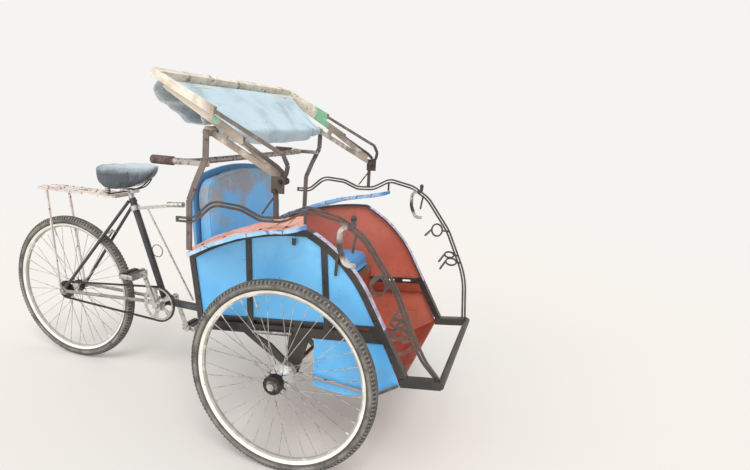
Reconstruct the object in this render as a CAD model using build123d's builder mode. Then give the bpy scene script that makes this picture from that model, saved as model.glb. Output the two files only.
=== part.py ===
"""Cycle rickshaw: a passenger carriage on two front wheels, steered on a kingpin
ahead of a bicycle rear end. Millimetres. +X forward, +Y to the left, +Z up.
The origin lies on the ground, under the middle of the whole length."""

import os
from math import atan2, cos, degrees, hypot, pi, radians, sin, tan

from build123d import *

os.makedirs("parts", exist_ok=True)

# Wheels
WHEEL_R = 355.0
TYRE_HALF = 19.0
TYRE_DEPTH = 36.0
RIM_HALF = 15.0
RIM_DEPTH = 17.0
WHEELBASE = 1338.0
TRACK = 794.0
SPOKES = 36
SPOKE_W = 2.0
SPOKE_SHIFT = 1.15
SPOKE_LEAN = 62.0
SPOKE_ROOT = 22.0
FLANGE_R = 30.0
FLANGE_T = 5.6
HUB_R = 17.0
HUB_SIDES = 24
REAR_HUB_RIGHT = 8.0
REAR_HUB_LEFT = 20.0
FLANGE_GAP = 56.0
AXLE_R = 8.0
REAR_AXLE_R = 6.0
RUN_FIT = 0.05
SEAT_GAP = 0.3
FRONT_HUB_HALF = 56.0
DRUM_R = 37.0
DRUM_W = 24.0
CUP_R = 34.0
CUP_W = 22.0
NUT_R = 14.0
NUT_T = 12.0

# Carriage body, half widths from the middle plane
BODY_HALF = 313.0
FRAME_T = 5.0
FRAME_W = 24.0
FLANGE_W = 28.0
PANEL_T = 8.0
RAIL_W = 30.0
RAIL_H = 36.0
RAIL_SLOPE = 0.105
RAIL_Z = 494.0
SILL_T = 8.0
SILL_UP = RAIL_H / 2 + 16.0
BODY_REAR = -388.0

# Body outline from the front axle, as x and z
ARC_REAR = (-425.0, 722.0)
ARC_BACK = (-185.0, 832.0)
ARC_TOP = (50.0, 868.0)
ARC_FRONT = (171.0, 794.0)
ARC_END = (280.0, 662.0)
LEG_END = (425.6, 401.5)
UPRIGHTS = ((-177.0, -168.0), (110.0, 132.0))
UPRIGHT_W = 22.0
# Blocks between rail and sill: middle and width
SPACERS = ((-374.0, 26.0), (-168.0, 26.0), (20.0, 24.0), (132.0, 26.0), (221.0, 32.0), (304.0, 38.0))

# Armrests and railings
ARM_OUT = 455.0
ARM_IN = BODY_HALF - 23.0
ARM_T = 14.0
# Underside of the armrest's inner and outer edge; the board rises off the frame towards its nose
ARM_INNER = (
    (-438.0, 722.8), (-330.0, 782.8), (-235.0, 821.0), (-140.0, 856.0),
    (-70.0, 877.0), (-20.0, 889.0), (26.0, 896.0),
)
ARM_OUTER = (
    (-325.0, 757.0), (-227.0, 807.0), (-127.0, 846.0), (-26.0, 873.0),
    (32.0, 880.0), (77.0, 892.0), (112.0, 906.0),
)
RAILING_Y = ARM_OUT - 5.0
ROD = 7.0
ROD_PITCH = 12.0

# Footwell
FLOOR_LINE = ((84.0, 300.0), (212.0, 292.0), (320.0, 316.0), (404.0, 371.0))
FLOOR_T = 10.0
WELL_T = 6.0
WELL_BACK_T = 10.0
STEP_X = 541.0
STEP_Z = 402.0
STEP_R = 12.0
STUB = 30.0

# Seat and backrest
SEAT_Z = 575.0
SEAT_T = 15.0
SEAT_FRONT = 94.0
SEAT_HALF = BODY_HALF - FLANGE_W - 5.0
CUSHION_T = 80.0
CUSHION_REAR = -318.0
BACK_LOW = (-392.0, 520.0)
BACK_HIGH = (-428.0, 1010.0)
BACK_T = 12.0
BACK_HALF = BODY_HALF - FLANGE_W - SEAT_GAP
BACK_PAD_T = 62.0
BACK_PAD_LOW = 120.0
BACK_CORNER = 75.0

# Hood
HOOD_Y = ARM_OUT - 6.0
HOOD_STRIP = 7.0
HOOD_PITCH = 12.0
PIVOT_X = 22.0
PIVOT_Z = 1042.0
PIN_R = 5.0
EYE_R = 12.0
FRONT_LEG = ((14.0, 26.0), (18.0, 50.0), (2.0, 81.0), (-455.0, 305.0))
MIDDLE_LEG = ((-2.0, 24.0), (-24.0, 43.0), (-418.0, 269.0))
REAR_LEG = (-272.0, 135.0)
REAR_SPACER = ((-222.0, 154.0), (-22.0, 26.0))
WOOD_W = 28.0
CROSS = 24.0
POST_LINE = ((-322.0, 0.0), (-317.0, 950.0), (-284.0, 1026.0), (-252.0, 1090.0), (-248.0, 1182.0))
POST_W = 20.0
POST_T = 6.0
POST_FOOT = 3.2

# Handlebar
BAR_R = 11.0
BAR_FLATS = 14
BAR_X = -330.0
BAR_Z = 1072.0
BAR_HALF = ARM_OUT - 30.0
BAR_REAR = -468.0
BAR_BEND = 45.0
BAR_LUG_X = -300.0
BAR_LUG_L = 96.0
BAR_LUG_T = 18.0
BAR_LUG_H = 16.0
GRIP_R = 15.0
GRIP_LEN = 80.0

# Bicycle rear end
HEAD_X = -600.0
HEAD_LOW = 330.0
HEAD_TOP = 425.0
HEAD_R = 24.0
PIN_KING_R = 12.0
TONGUE_W = 60.0
TONGUE_H = 40.0
BB_X = -800.0
BB_Z = 372.0
BB_R = 21.0
BB_HALF = 34.0
SPINDLE_R = 8.0
SEAT_TUBE_R = 14.5
SEAT_TUBE_TOP = (-963.0, 835.0)
LOWER_TUBE_R = 17.0
CHAIN_STAY_R = 8.0
SEAT_STAY_R = 7.0
DROPOUT_Y = 62.0
DROPOUT_T = 5.0
POST_R = 12.5
POST_PLATE = 16.0
SADDLE_LOW = 877.0
# Saddle in side view, from its rear underside round the nose, and in plan as x and half width
SADDLE_SIDE = (
    (-1098.0, 912.0), (-1072.0, 889.0), (-1030.0, 879.0), (-984.0, SADDLE_LOW), (-898.0, 907.0),
    (-846.0, 942.0), (-818.0, 976.0), (-811.0, 995.0), (-880.0, 994.0), (-977.0, 988.0),
    (-1050.0, 974.0), (-1084.0, 957.0), (-1100.0, 934.0),
)
SADDLE_PLAN = (
    (-1100.0, 50.0), (-1086.0, 82.0), (-1058.0, 101.0), (-1022.0, 102.0), (-975.0, 80.0), (-928.0, 50.0),
    (-885.0, 34.0), (-836.0, 26.0), (-811.0, 13.0),
)
CARRIER_Z = 842.0
CARRIER_HALF = 58.0
CARRIER_REAR = -WHEELBASE - 140.0
CARRIER_FRONT = -1012.0
CARRIER_ROD = 9.0

# Transmission
PITCH = 12.7
RING_TEETH = 40
COG_TEETH = 20
CHAIN_Y = -45.0
TOOTH_T = 2.2
PLATE_T = 1.2
PLATE_GAP = 3.4
PLATE_H = 8.0
CRANK_LEN = 165.0
CRANK_W = 18.0
CRANK_T = 10.0
CRANK_IN = 64.0
CRANK_ANGLE = 111.0
PEDAL_L = 92.0
PEDAL_W = 66.0
PEDAL_T = 24.0
PEDAL_PIN_R = 5.0
LEVER_TIP = (-700.0, 832.0)
LEVER_CLAMP = 46.0
BRAKE_ROD = ((-880.0, 796.0), (-650.0, 400.0))

# The origin is under the middle of the length, so the front axle stands at AXLE_X
AXLE_X = (WHEELBASE + WHEEL_R - STEP_X - STEP_R) / 2
SIDE = Plane(origin=(AXLE_X, 0, 0), x_dir=(1, 0, 0), z_dir=(0, -1, 0))
SIDES = (("right", 1), ("left", -1))


def at(x, y, z):
    """A point given from the front axle, with y to the left."""
    return Vector(AXLE_X + x, y, z)


def finish(piece, label):
    """Names a finished sub-part and writes it."""
    piece.part.label = label
    export_step(piece.part, f"parts/{label}.step")


def rod(start, end, radius):
    """A round bar between two points, added to the part being built."""
    with Locations(Plane(origin=(start + end) / 2, z_dir=end - start).location):
        Cylinder(radius, (end - start).length)


def bar(start, end, across, height, x_dir=(0, 1, 0)):
    """A flat or square bar between two points; across lies along x_dir."""
    with Locations(Plane(origin=(start + end) / 2, x_dir=x_dir, z_dir=end - start).location):
        Box(across, height, (end - start).length)


def rail_z(x, up=0.0):
    """Height of the side rails' middle line at x, plus an offset."""
    return RAIL_Z + RAIL_SLOPE * x + up * hypot(1, RAIL_SLOPE)


def rail_cross(line, up):
    """Where a line in side view crosses the parallel to the rails at a height over their middle line."""
    (x0, z0), (x1, z1) = line
    share = (rail_z(x0, up) - z0) / (z1 - z0 - RAIL_SLOPE * (x1 - x0))
    return (x0 + (x1 - x0) * share, z0 + (z1 - z0) * share)


def leg_line(back=0.0):
    """The line of the body's front leg, moved back from its front edge."""
    (x0, z0), (x1, z1) = ARC_END, LEG_END
    length = hypot(x1 - x0, z1 - z0)
    dx, dz = (z1 - z0) / length * back, (x0 - x1) / length * back
    return ((x0 + dx, z0 + dz), (x1 + dx, z1 + dz))


def arc_z(x):
    """Height of the body's rear arc at x, on the circle through its three points."""
    (x0, z0), (x1, z1), (x2, z2) = ARC_REAR, ARC_BACK, ARC_TOP
    twice = 2 * (x0 * (z1 - z2) + x1 * (z2 - z0) + x2 * (z0 - z1))
    sq = [a * a + b * b for a, b in (ARC_REAR, ARC_BACK, ARC_TOP)]
    cx = (sq[0] * (z1 - z2) + sq[1] * (z2 - z0) + sq[2] * (z0 - z1)) / twice
    cz = (sq[0] * (x2 - x1) + sq[1] * (x0 - x2) + sq[2] * (x1 - x0)) / twice
    return cz + (hypot(x0 - cx, z0 - cz) ** 2 - (x - cx) ** 2) ** 0.5


def bent(points, radii, section, sides=4):
    """A bar of regular section, drawn by its radius to the corners, with one bend radius for each corner."""
    across = Vector(0, 1, 0) if abs((points[1] - points[0]).normalized().Y) < 0.9 else Vector(0, 0, 1)
    start = points[0]
    for corner, after, radius in zip(points[1:-1], points[2:], radii):
        ahead = (corner - start).normalized()
        turned = (after - corner).normalized()
        turn = ahead.get_angle(turned)
        trim = radius * tan(radians(turn / 2))
        entry = corner - ahead * trim
        straight_run(start, entry, section, sides, across)
        normal = ahead.cross(turned).normalized()
        centre = entry + normal.cross(ahead) * radius
        with BuildSketch(Plane(origin=entry, x_dir=across, z_dir=ahead)) as profile:
            RegularPolygon(section, sides, rotation=180 / sides)
        revolve(profiles=profile.sketch, axis=Axis(centre, normal), revolution_arc=turn)
        across = across.rotate(Axis((0, 0, 0), normal), turn)
        start = corner + turned * trim
    straight_run(start, points[-1], section, sides, across)


def straight_run(start, end, section, sides, across):
    """A straight stretch of a bent bar."""
    with BuildSketch(Plane(origin=start, x_dir=across, z_dir=end - start)) as profile:
        RegularPolygon(section, sides, rotation=180 / sides)
    extrude(profile.sketch, amount=(end - start).length)


def body_outline(inset=0.0, low=SILL_UP):
    """Face of the carriage's side above its rail from a low height, pulled in by an inset."""
    rear_low = rail_cross((ARC_REAR, (BODY_REAR, rail_z(BODY_REAR))), low)
    front_low = rail_cross(leg_line(), low)
    with BuildSketch(Plane.XY) as outline:
        with BuildLine():
            Line(rear_low, ARC_REAR)
            ThreePointArc(ARC_REAR, ARC_BACK, ARC_TOP)
            ThreePointArc(ARC_TOP, ARC_FRONT, ARC_END)
            Line(ARC_END, front_low)
            Line(front_low, rear_low)
        make_face()
        if inset:
            offset(amount=-inset, kind=Kind.INTERSECTION, mode=Mode.REPLACE)
    return outline.sketch


# Front wheels, rear wheel and their tyres


def wheel_plane(x, y):
    return Plane(origin=(AXLE_X + x, y, WHEEL_R), x_dir=(1, 0, 0), z_dir=(0, 0, 1))


def tyre(x, y):
    """A tyre of five flats, closed on the rim's bed."""
    bed = WHEEL_R - TYRE_DEPTH
    with BuildPart() as ring:
        with BuildSketch(wheel_plane(x, y)):
            with BuildLine():
                Polyline(
                    (bed, -TYRE_HALF * 0.62),
                    (WHEEL_R - TYRE_HALF, -TYRE_HALF),
                    (WHEEL_R, -TYRE_HALF * 0.4),
                    (WHEEL_R, TYRE_HALF * 0.4),
                    (WHEEL_R - TYRE_HALF, TYRE_HALF),
                    (bed, TYRE_HALF * 0.62),
                    close=True,
                )
            make_face()
        revolve(axis=Axis((AXLE_X + x, y, WHEEL_R), (0, 1, 0)))
    return ring


def spoked_wheel(x, y, hub, bore):
    """Rim, laced spokes and hub in one solid, bored for its axle. Hub gives ends and radius of its drums."""
    rim_out = WHEEL_R - TYRE_DEPTH
    rim_in = rim_out - RIM_DEPTH
    axis = Axis((AXLE_X + x, y, WHEEL_R), (0, 1, 0))
    per_flange = SPOKES // 2
    spoke_places = []
    for flange in (-1, 1):
        for number in range(per_flange):
            side = 1 if number % 2 else -1
            rim_angle = 360 / per_flange * (number + (0.5 if flange > 0 else 0.0))
            hub_angle = rim_angle + side * SPOKE_LEAN
            root = Vector(
                AXLE_X + x + SPOKE_ROOT * cos(radians(hub_angle)),
                y + flange * (FLANGE_GAP / 2 + 0.6) + side * SPOKE_SHIFT,
                WHEEL_R + SPOKE_ROOT * sin(radians(hub_angle)),
            )
            tip_r = rim_in + 2
            tip = Vector(
                AXLE_X + x + tip_r * cos(radians(rim_angle)),
                y + flange * 2.0 + side * SPOKE_SHIFT,
                WHEEL_R + tip_r * sin(radians(rim_angle)),
            )
            spoke_places.append((root, tip))
    with BuildPart() as wheel:
        with BuildSketch(wheel_plane(x, y)):
            with BuildLine():
                Polyline(
                    (rim_in, -RIM_HALF * 0.35),
                    (rim_out, -RIM_HALF),
                    (rim_out, RIM_HALF),
                    (rim_in, RIM_HALF * 0.35),
                    close=True,
                )
            make_face()
        revolve(axis=axis)
        for start, end, radius in hub:
            with BuildSketch(Plane(origin=(AXLE_X + x, y + start, WHEEL_R), z_dir=(0, 1, 0))) as drum:
                RegularPolygon(radius, HUB_SIDES)
            extrude(drum.sketch, amount=end - start)
        length = (spoke_places[0][1] - spoke_places[0][0]).length
        places = [Plane(origin=(a + b) / 2, x_dir=(0, 1, 0), z_dir=b - a).location for a, b in spoke_places]
        with Locations(*places):
            Box(SPOKE_W, SPOKE_W, length)
        with Locations(Plane(origin=(AXLE_X + x, y, WHEEL_R), z_dir=(0, 1, 0)).location):
            Cylinder(bore, 4 * FLANGE_GAP, mode=Mode.SUBTRACT)
    return wheel


flange = FLANGE_GAP / 2 + FLANGE_T / 2
for side, sign in SIDES:
    drum_end = FRONT_HUB_HALF
    cup = (-drum_end, CUP_W - drum_end, CUP_R)
    drum = (drum_end - DRUM_W, drum_end, DRUM_R)
    outer_flange = (-flange, FLANGE_T - flange, FLANGE_R)
    inner_flange = (flange - FLANGE_T, drum_end - DRUM_W, FLANGE_R)
    row = (cup, (CUP_W - drum_end, flange - FLANGE_T, HUB_R), outer_flange, inner_flange, drum)
    hub = [(sign * a, sign * b, r) for a, b, r in row]
    front_wheel = spoked_wheel(0, -sign * TRACK / 2, hub, AXLE_R + RUN_FIT)
    finish(front_wheel, f"front_wheel_{side}")
    front_tyre = tyre(0, -sign * TRACK / 2)
    finish(front_tyre, f"front_tyre_{side}")

rear_hub = [
    (-FLANGE_GAP / 2 - REAR_HUB_RIGHT, FLANGE_GAP / 2 + REAR_HUB_LEFT, HUB_R),
    (-flange, FLANGE_T - flange, FLANGE_R), (flange - FLANGE_T, flange, FLANGE_R),
]
rear_wheel = spoked_wheel(-WHEELBASE, 0, rear_hub, REAR_AXLE_R + RUN_FIT)
finish(rear_wheel, "rear_wheel")
rear_tyre = tyre(-WHEELBASE, 0)
finish(rear_tyre, "rear_tyre")

# Front axle, its hangers and stays

with BuildPart() as axle:
    reach = TRACK / 2 + FRONT_HUB_HALF + SEAT_GAP + NUT_T
    rod(at(0, -reach, WHEEL_R), at(0, reach, WHEEL_R), AXLE_R)
    for side, sign in SIDES:
        with BuildSketch(SIDE.offset(sign * (TRACK / 2 + FRONT_HUB_HALF + SEAT_GAP))):
            with Locations((0, WHEEL_R)):
                RegularPolygon(NUT_R, 6)
        extrude(amount=sign * NUT_T)
finish(axle, "front_axle")

for side, sign in SIDES:
    inner_y = BODY_HALF - RAIL_W
    with BuildPart() as hanger:
        with BuildSketch(SIDE.offset(sign * (inner_y + 8))):
            with BuildLine():
                Polyline(
                    (-24, rail_z(-24, -RAIL_H / 2)),
                    (-20, WHEEL_R - 20),
                    (20, WHEEL_R - 20),
                    (64, rail_z(64, -RAIL_H / 2)),
                    close=True,
                )
            make_face()
            with Locations((0, WHEEL_R)):
                Circle(AXLE_R, mode=Mode.SUBTRACT)
        extrude(amount=sign * 8)
        with BuildSketch(SIDE.offset(sign * (inner_y + 8))):
            with BuildLine():
                Polyline(
                    (-212, rail_z(-212, -RAIL_H / 2)),
                    (-112, 392),
                    (-20, WHEEL_R - 12),
                    (-20, WHEEL_R + 14),
                    (-90, 424),
                    (-172, rail_z(-172, -RAIL_H / 2)),
                    close=True,
                )
            make_face()
        extrude(amount=sign * 8)
        stay_y = -sign * (BODY_HALF + 5)
        rod(at(18, stay_y, WHEEL_R - 8), at(286, stay_y, 326), 5)
        rod(at(18, stay_y, WHEEL_R - 8), at(18, -sign * (inner_y + 12), WHEEL_R - 8), 5)
    finish(hanger, f"axle_hanger_{side}")

# Chassis: two side rails, cross members and the tongue to the kingpin

with BuildPart() as chassis:
    front_cut = leg_line(FRAME_W + SEAT_GAP)
    for side, sign in SIDES:
        with BuildSketch(SIDE.offset(sign * (BODY_HALF - RAIL_W))):
            with BuildLine():
                Polyline(
                    (BODY_REAR, rail_z(BODY_REAR, -RAIL_H / 2)), rail_cross(front_cut, -RAIL_H / 2),
                    rail_cross(front_cut, RAIL_H / 2), (BODY_REAR, rail_z(BODY_REAR, RAIL_H / 2)),
                    close=True,
                )
            make_face()
        extrude(amount=sign * RAIL_W)
    inner = BODY_HALF - RAIL_W
    for x in (BODY_REAR + 22, -40.0):
        bar(at(x, -inner, rail_z(x)), at(x, inner, rail_z(x)), 40, RAIL_H - 12, x_dir=(1, 0, 0))
    tongue_z = HEAD_TOP + SEAT_GAP + TONGUE_H / 2
    bar(at(-40, 0, rail_z(-40)), at(HEAD_X, 0, tongue_z), TONGUE_W, TONGUE_H)
    rod(at(HEAD_X, 0, HEAD_TOP + SEAT_GAP), at(HEAD_X, 0, HEAD_TOP + SEAT_GAP + TONGUE_H), TONGUE_W / 2)
    rod(at(HEAD_X, 0, HEAD_LOW - 40), at(HEAD_X, 0, HEAD_TOP + TONGUE_H), PIN_KING_R)
    with BuildSketch(Plane(at(HEAD_X, 0, HEAD_LOW - SEAT_GAP - 14))):
        RegularPolygon(22, 6)
    extrude(amount=14)
finish(chassis, "chassis")

# Side panels, their black angle frames, armrests and railings

for side, sign in SIDES:
    with BuildPart() as frame:
        ring = body_outline() - body_outline(FRAME_W, SILL_UP + SILL_T - FRAME_W)
        lip = body_outline() - body_outline(FRAME_T)
        extrude(SIDE.offset(sign * (BODY_HALF - FRAME_T)) * ring, amount=sign * FRAME_T)
        extrude(SIDE.offset(sign * (BODY_HALF - FLANGE_W)) * lip, amount=sign * FLANGE_W)
        y = -sign * (BODY_HALF - FRAME_T / 2)
        for top_x, low_x in UPRIGHTS:
            top_z = ARC_BACK[1] - 8 if top_x < 0 else ARC_FRONT[1] + 26
            bar(at(top_x, y, top_z), at(low_x, y, rail_z(low_x, SILL_UP) + 2), FRAME_T, UPRIGHT_W)
        with BuildSketch(SIDE.offset(sign * (BODY_HALF - FLANGE_W))):
            front_edge, rear_edge = leg_line(), leg_line(FRAME_W)
            (x0, z0), (x1, z1) = rear_edge
            foot_x = x0 + (x1 - x0) * (LEG_END[1] - z0) / (z1 - z0)
            with BuildLine():
                Polyline(
                    rail_cross(front_edge, SILL_UP + FRAME_T / 2), LEG_END, (foot_x, LEG_END[1]),
                    rail_cross(rear_edge, SILL_UP + FRAME_T / 2), close=True,
                )
            make_face()
            for x, width in SPACERS:
                rear, front = x - width / 2, x + width / 2
                low, high = RAIL_H / 2, SILL_UP + FRAME_T / 2
                with BuildLine():
                    Polyline(
                        (rear, rail_z(rear, low)), (front, rail_z(front, low)),
                        (front, rail_z(front, high)), (rear, rail_z(rear, high)), close=True,
                    )
                make_face()
        extrude(amount=sign * FLANGE_W)
    finish(frame, f"side_frame_{side}")

    with BuildPart() as panel:
        face = body_outline(FRAME_T)
        extrude(SIDE.offset(sign * (BODY_HALF - FRAME_T - PANEL_T)) * face, amount=sign * PANEL_T)
    finish(panel, f"side_panel_{side}")

    with BuildPart() as armrest:
        for out, low in ((ARM_IN, ARM_INNER), (ARM_OUT, ARM_OUTER)):
            with BuildSketch(SIDE.offset(sign * out)):
                with BuildLine():
                    Polyline(*low, *[(x, z + ARM_T) for x, z in reversed(low)], close=True)
                make_face()
        loft(ruled=True)
    finish(armrest, f"armrest_{side}")

# Wavy double railing: x, z and bend radius of each point of the upper rod
RAILING = (
    (-365, 890, 0), (-300, 892, 55), (-225, 958, 70), (-118, 952, 90), (-48, 925, 70),
    (28, 930, 90), (108, 976, 60), (225, 952, 110), (300, 905, 120), (405, 766, 250),
    (500, 560, 160), (532, 418.5, 0),
)
# Oval rings between railing and body frame: x, z, half width, half height and the x of the rod they hang from
RINGS = ((349, 761, 28, 32, 405), (416, 652, 25, 17, 458), (427, 620, 28, 20, 472))
RING_SIDES = 16
# Scroll under the railing's crest: x, z and bend radius, from its upper end; and the stick inside it
SCROLL = ((262, 950, 0), (262, 932, 8), (219, 922, 24), (219, 862, 60), (240, 811, 24), (272, 810, 0))
SCROLL_ROD = 13.0
STICK = ((272, 914), (263, 850))
NOSE_ROD = (104.0, 4.5)


def beside(points, gap):
    """Points of a line run beside another, below it where it goes forwards."""
    moved = []
    for number, (x, z) in enumerate(points):
        x0, z0 = points[max(number - 1, 0)]
        x1, z1 = points[min(number + 1, len(points) - 1)]
        ahead = Vector(x1 - x, z1 - z)
        behind = Vector(x - x0, z - z0)
        ahead = ahead.normalized() if ahead.length else behind.normalized()
        behind = behind.normalized() if behind.length else ahead
        middle = (ahead + behind).normalized()
        reach = gap / middle.dot(ahead)
        moved.append((x + middle.Y * reach, z - middle.X * reach))
    return moved


def oval(x, z, wide, high):
    """Corners of a faceted oval ring in side view."""
    turns = [2 * pi * (number + 0.5) / RING_SIDES for number in range(RING_SIDES)]
    return [(x + wide * cos(turn), z + high * sin(turn)) for turn in turns]


for side, sign in SIDES:
    y = -sign * RAILING_Y
    foot_y = -sign * (BODY_HALF - STUB / 2)
    with BuildPart() as railing:
        for gap in (0, ROD_PITCH):
            line = beside([(x, z) for x, z, _ in RAILING], gap)
            points = [at(x, y, z) for x, z in line[:-1]]
            points.append(at(line[-1][0], foot_y, RAILING[-1][1]))
            bent(points, [r for _, _, r in RAILING[1:-1]], ROD / 2 * 2**0.5)
        x, z, _ = RAILING[0]
        bar(at(x + ROD / 2, y, z + ROD / 2), at(x + ROD / 2, y, z - ROD_PITCH - ROD / 2), ROD, ROD)
        x, r = NOSE_ROD
        rod(at(x, y, 972 - ROD_PITCH), at(x, y, ARM_OUTER[-1][1] + ARM_T + SEAT_GAP), r)
        bent([at(x, y, z) for x, z, _ in SCROLL], [r for _, _, r in SCROLL[1:-1]], SCROLL_ROD / 2 * 2**0.5)
        (xa, za), (xb, zb) = STICK
        bar(at(xa, y, za), at(xb, y, zb), ROD, ROD)
        for x, z, wide, high, rod_x in RINGS:
            with BuildSketch(SIDE.offset(sign * (RAILING_Y - ROD / 2))) as ring:
                Polygon(*oval(x, z, wide, high), align=None)
                Polygon(*oval(x, z, wide - ROD, high - ROD), align=None, mode=Mode.SUBTRACT)
            extrude(ring.sketch, amount=sign * ROD)
            bar(at(x - wide + 3, y, z), at(x - wide + 3, -sign * (BODY_HALF - 2), z), ROD, ROD, x_dir=(1, 0, 0))
            bar(at(x + wide - 4, y, z), at(rod_x, y, z), ROD, ROD)
    finish(railing, f"railing_{side}")

# Footwell: curved floor, cheeks, back board and the step bar in front

floor_top = [(x, z + FLOOR_T) for x, z in reversed(FLOOR_LINE)]
with BuildPart() as floor:
    width = BODY_HALF - FRAME_T - WELL_T
    with BuildSketch(SIDE.offset(-width)):
        with BuildLine():
            Polyline(*FLOOR_LINE, *floor_top, close=True)
        make_face()
    extrude(amount=2 * width)
finish(floor, "footwell_floor")

for side, sign in SIDES:
    with BuildPart() as cheek:
        with BuildSketch(SIDE.offset(sign * (BODY_HALF - FRAME_T - WELL_T))):
            with BuildLine():
                Polyline(
                    (FLOOR_LINE[0][0], rail_z(FLOOR_LINE[0][0], -RAIL_H / 2)),
                    *FLOOR_LINE,
                    rail_cross(leg_line(FRAME_W + 1), -RAIL_H / 2),
                    close=True,
                )
            make_face()
        extrude(amount=sign * WELL_T)
    finish(cheek, f"footwell_cheek_{side}")

with BuildPart() as well_back:
    x = FLOOR_LINE[0][0]
    low = FLOOR_LINE[0][1] + FLOOR_T
    high = SEAT_Z + RAIL_SLOPE * x - 0.1
    bar(at(x + WELL_BACK_T / 2, 0, low), at(x + WELL_BACK_T / 2, 0, high), 2 * SEAT_HALF, WELL_BACK_T)
finish(well_back, "footwell_back")

with BuildPart() as step_bar:
    for side, sign in SIDES:
        y = -sign * (BODY_HALF - STUB / 2)
        bar(at(FLOOR_LINE[-1][0] + 0.1, y, FLOOR_LINE[-1][1] + 12), at(STEP_X, y, STEP_Z), STUB, STUB)
    rod(at(STEP_X, -BODY_HALF, STEP_Z), at(STEP_X, BODY_HALF, STEP_Z), STEP_R)
finish(step_bar, "step_bar")

# Seat and backrest

with BuildPart() as seat_deck:
    rear = BODY_REAR + 6
    bar(
        at(rear, 0, SEAT_Z + RAIL_SLOPE * rear + SEAT_T / 2),
        at(SEAT_FRONT, 0, SEAT_Z + RAIL_SLOPE * SEAT_FRONT + SEAT_T / 2),
        2 * SEAT_HALF,
        SEAT_T,
    )
finish(seat_deck, "seat_deck")


def seat_line(x, up):
    return (x, SEAT_Z + SEAT_T + RAIL_SLOPE * x + SEAT_GAP + up)


with BuildPart() as seat_cushion:
    with BuildSketch(SIDE.offset(-SEAT_HALF - 6)):
        with BuildLine():
            Polyline(
                seat_line(CUSHION_REAR, 0),
                seat_line(SEAT_FRONT + 6, 0),
                seat_line(SEAT_FRONT + 6, CUSHION_T),
                seat_line(CUSHION_REAR, CUSHION_T),
                close=True,
            )
        make_face()
    extrude(amount=2 * SEAT_HALF + 12)
    fillet(seat_cushion.edges().filter_by(Axis.Y).group_by(Axis.Z)[-1], 24)
finish(seat_cushion, "seat_cushion")

back_dir = Vector(BACK_HIGH[0] - BACK_LOW[0], 0, BACK_HIGH[1] - BACK_LOW[1])
back_len = back_dir.length
BACK_PLANE = Plane(origin=at(BACK_LOW[0], 0, BACK_LOW[1]), x_dir=(0, 1, 0), z_dir=back_dir.cross(Vector(0, -1, 0)))


def back_shape(low, half):
    """Backrest outline on its leaning plane, with an arched top."""
    with BuildSketch(Plane.XY) as shape:
        with BuildLine():
            Line((-half, low), (half, low))
            Line((half, low), (half, back_len - BACK_CORNER))
            RadiusArc((half, back_len - BACK_CORNER), (half - BACK_CORNER, back_len), -BACK_CORNER)
            ThreePointArc((half - BACK_CORNER, back_len), (0, back_len + 22), (-half + BACK_CORNER, back_len))
            RadiusArc((-half + BACK_CORNER, back_len), (-half, back_len - BACK_CORNER), -BACK_CORNER)
            Line((-half, back_len - BACK_CORNER), (-half, low))
        make_face()
    return shape.sketch


with BuildPart() as back_board:
    extrude(BACK_PLANE * back_shape(0, BACK_HALF), amount=-BACK_T)
finish(back_board, "back_board")

with BuildPart() as back_cushion:
    extrude(BACK_PLANE.offset(SEAT_GAP) * back_shape(BACK_PAD_LOW, BACK_HALF), amount=BACK_PAD_T)
finish(back_cushion, "back_cushion")

# Hood posts, pivots and the folded bows

for side, sign in SIDES:
    y_out = RAILING_Y - ROD / 2
    with BuildPart() as post:
        (x0, z0), (x1, z1) = ARM_OUTER[:2]
        foot_x = POST_LINE[0][0]
        foot = (foot_x, z0 + (z1 - z0) / (x1 - x0) * (foot_x + POST_W / 2 - x0) + ARM_T + POST_FOOT)
        line = [foot] + list(POST_LINE[1:])
        y = -sign * (y_out - POST_T / 2)
        for (x0, z0), (x1, z1) in zip(line, line[1:]):
            bar(at(x0, y, z0), at(x1, y, z1), POST_T, POST_W)
    finish(post, f"hood_post_{side}")

    y = -sign * RAILING_Y
    dip = RAILING[4][1] + (RAILING[5][1] - RAILING[4][1]) * (10 - RAILING[4][0]) / (RAILING[5][0] - RAILING[4][0])
    with BuildPart() as pivot:
        bar(at(4, y, dip + ROD / 2 + 0.1), at(4, y, PIVOT_Z - EYE_R - 18), 12, 12)
        plate_y = -sign * (HOOD_Y + 5)
        bar(at(12, plate_y, PIVOT_Z - 36), at(12, plate_y, PIVOT_Z + 16), 4, 44)
        rod(at(PIVOT_X, plate_y, PIVOT_Z), at(PIVOT_X, -sign * (HOOD_Y - 36), PIVOT_Z), PIN_R)
        rod(at(-44, y, dip + ROD / 2 + 3.4), at(2, y, 1000), 3)
    finish(pivot, f"hood_pivot_{side}")


def leg_y(rank):
    """Middle of a bow's leg; bows nest inwards by rank."""
    return HOOD_Y - HOOD_STRIP / 2 - rank * HOOD_PITCH


def pivot_at(x, y, z):
    """A point given from the hood's pivot line."""
    return at(PIVOT_X + x, y, PIVOT_Z + z)


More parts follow.
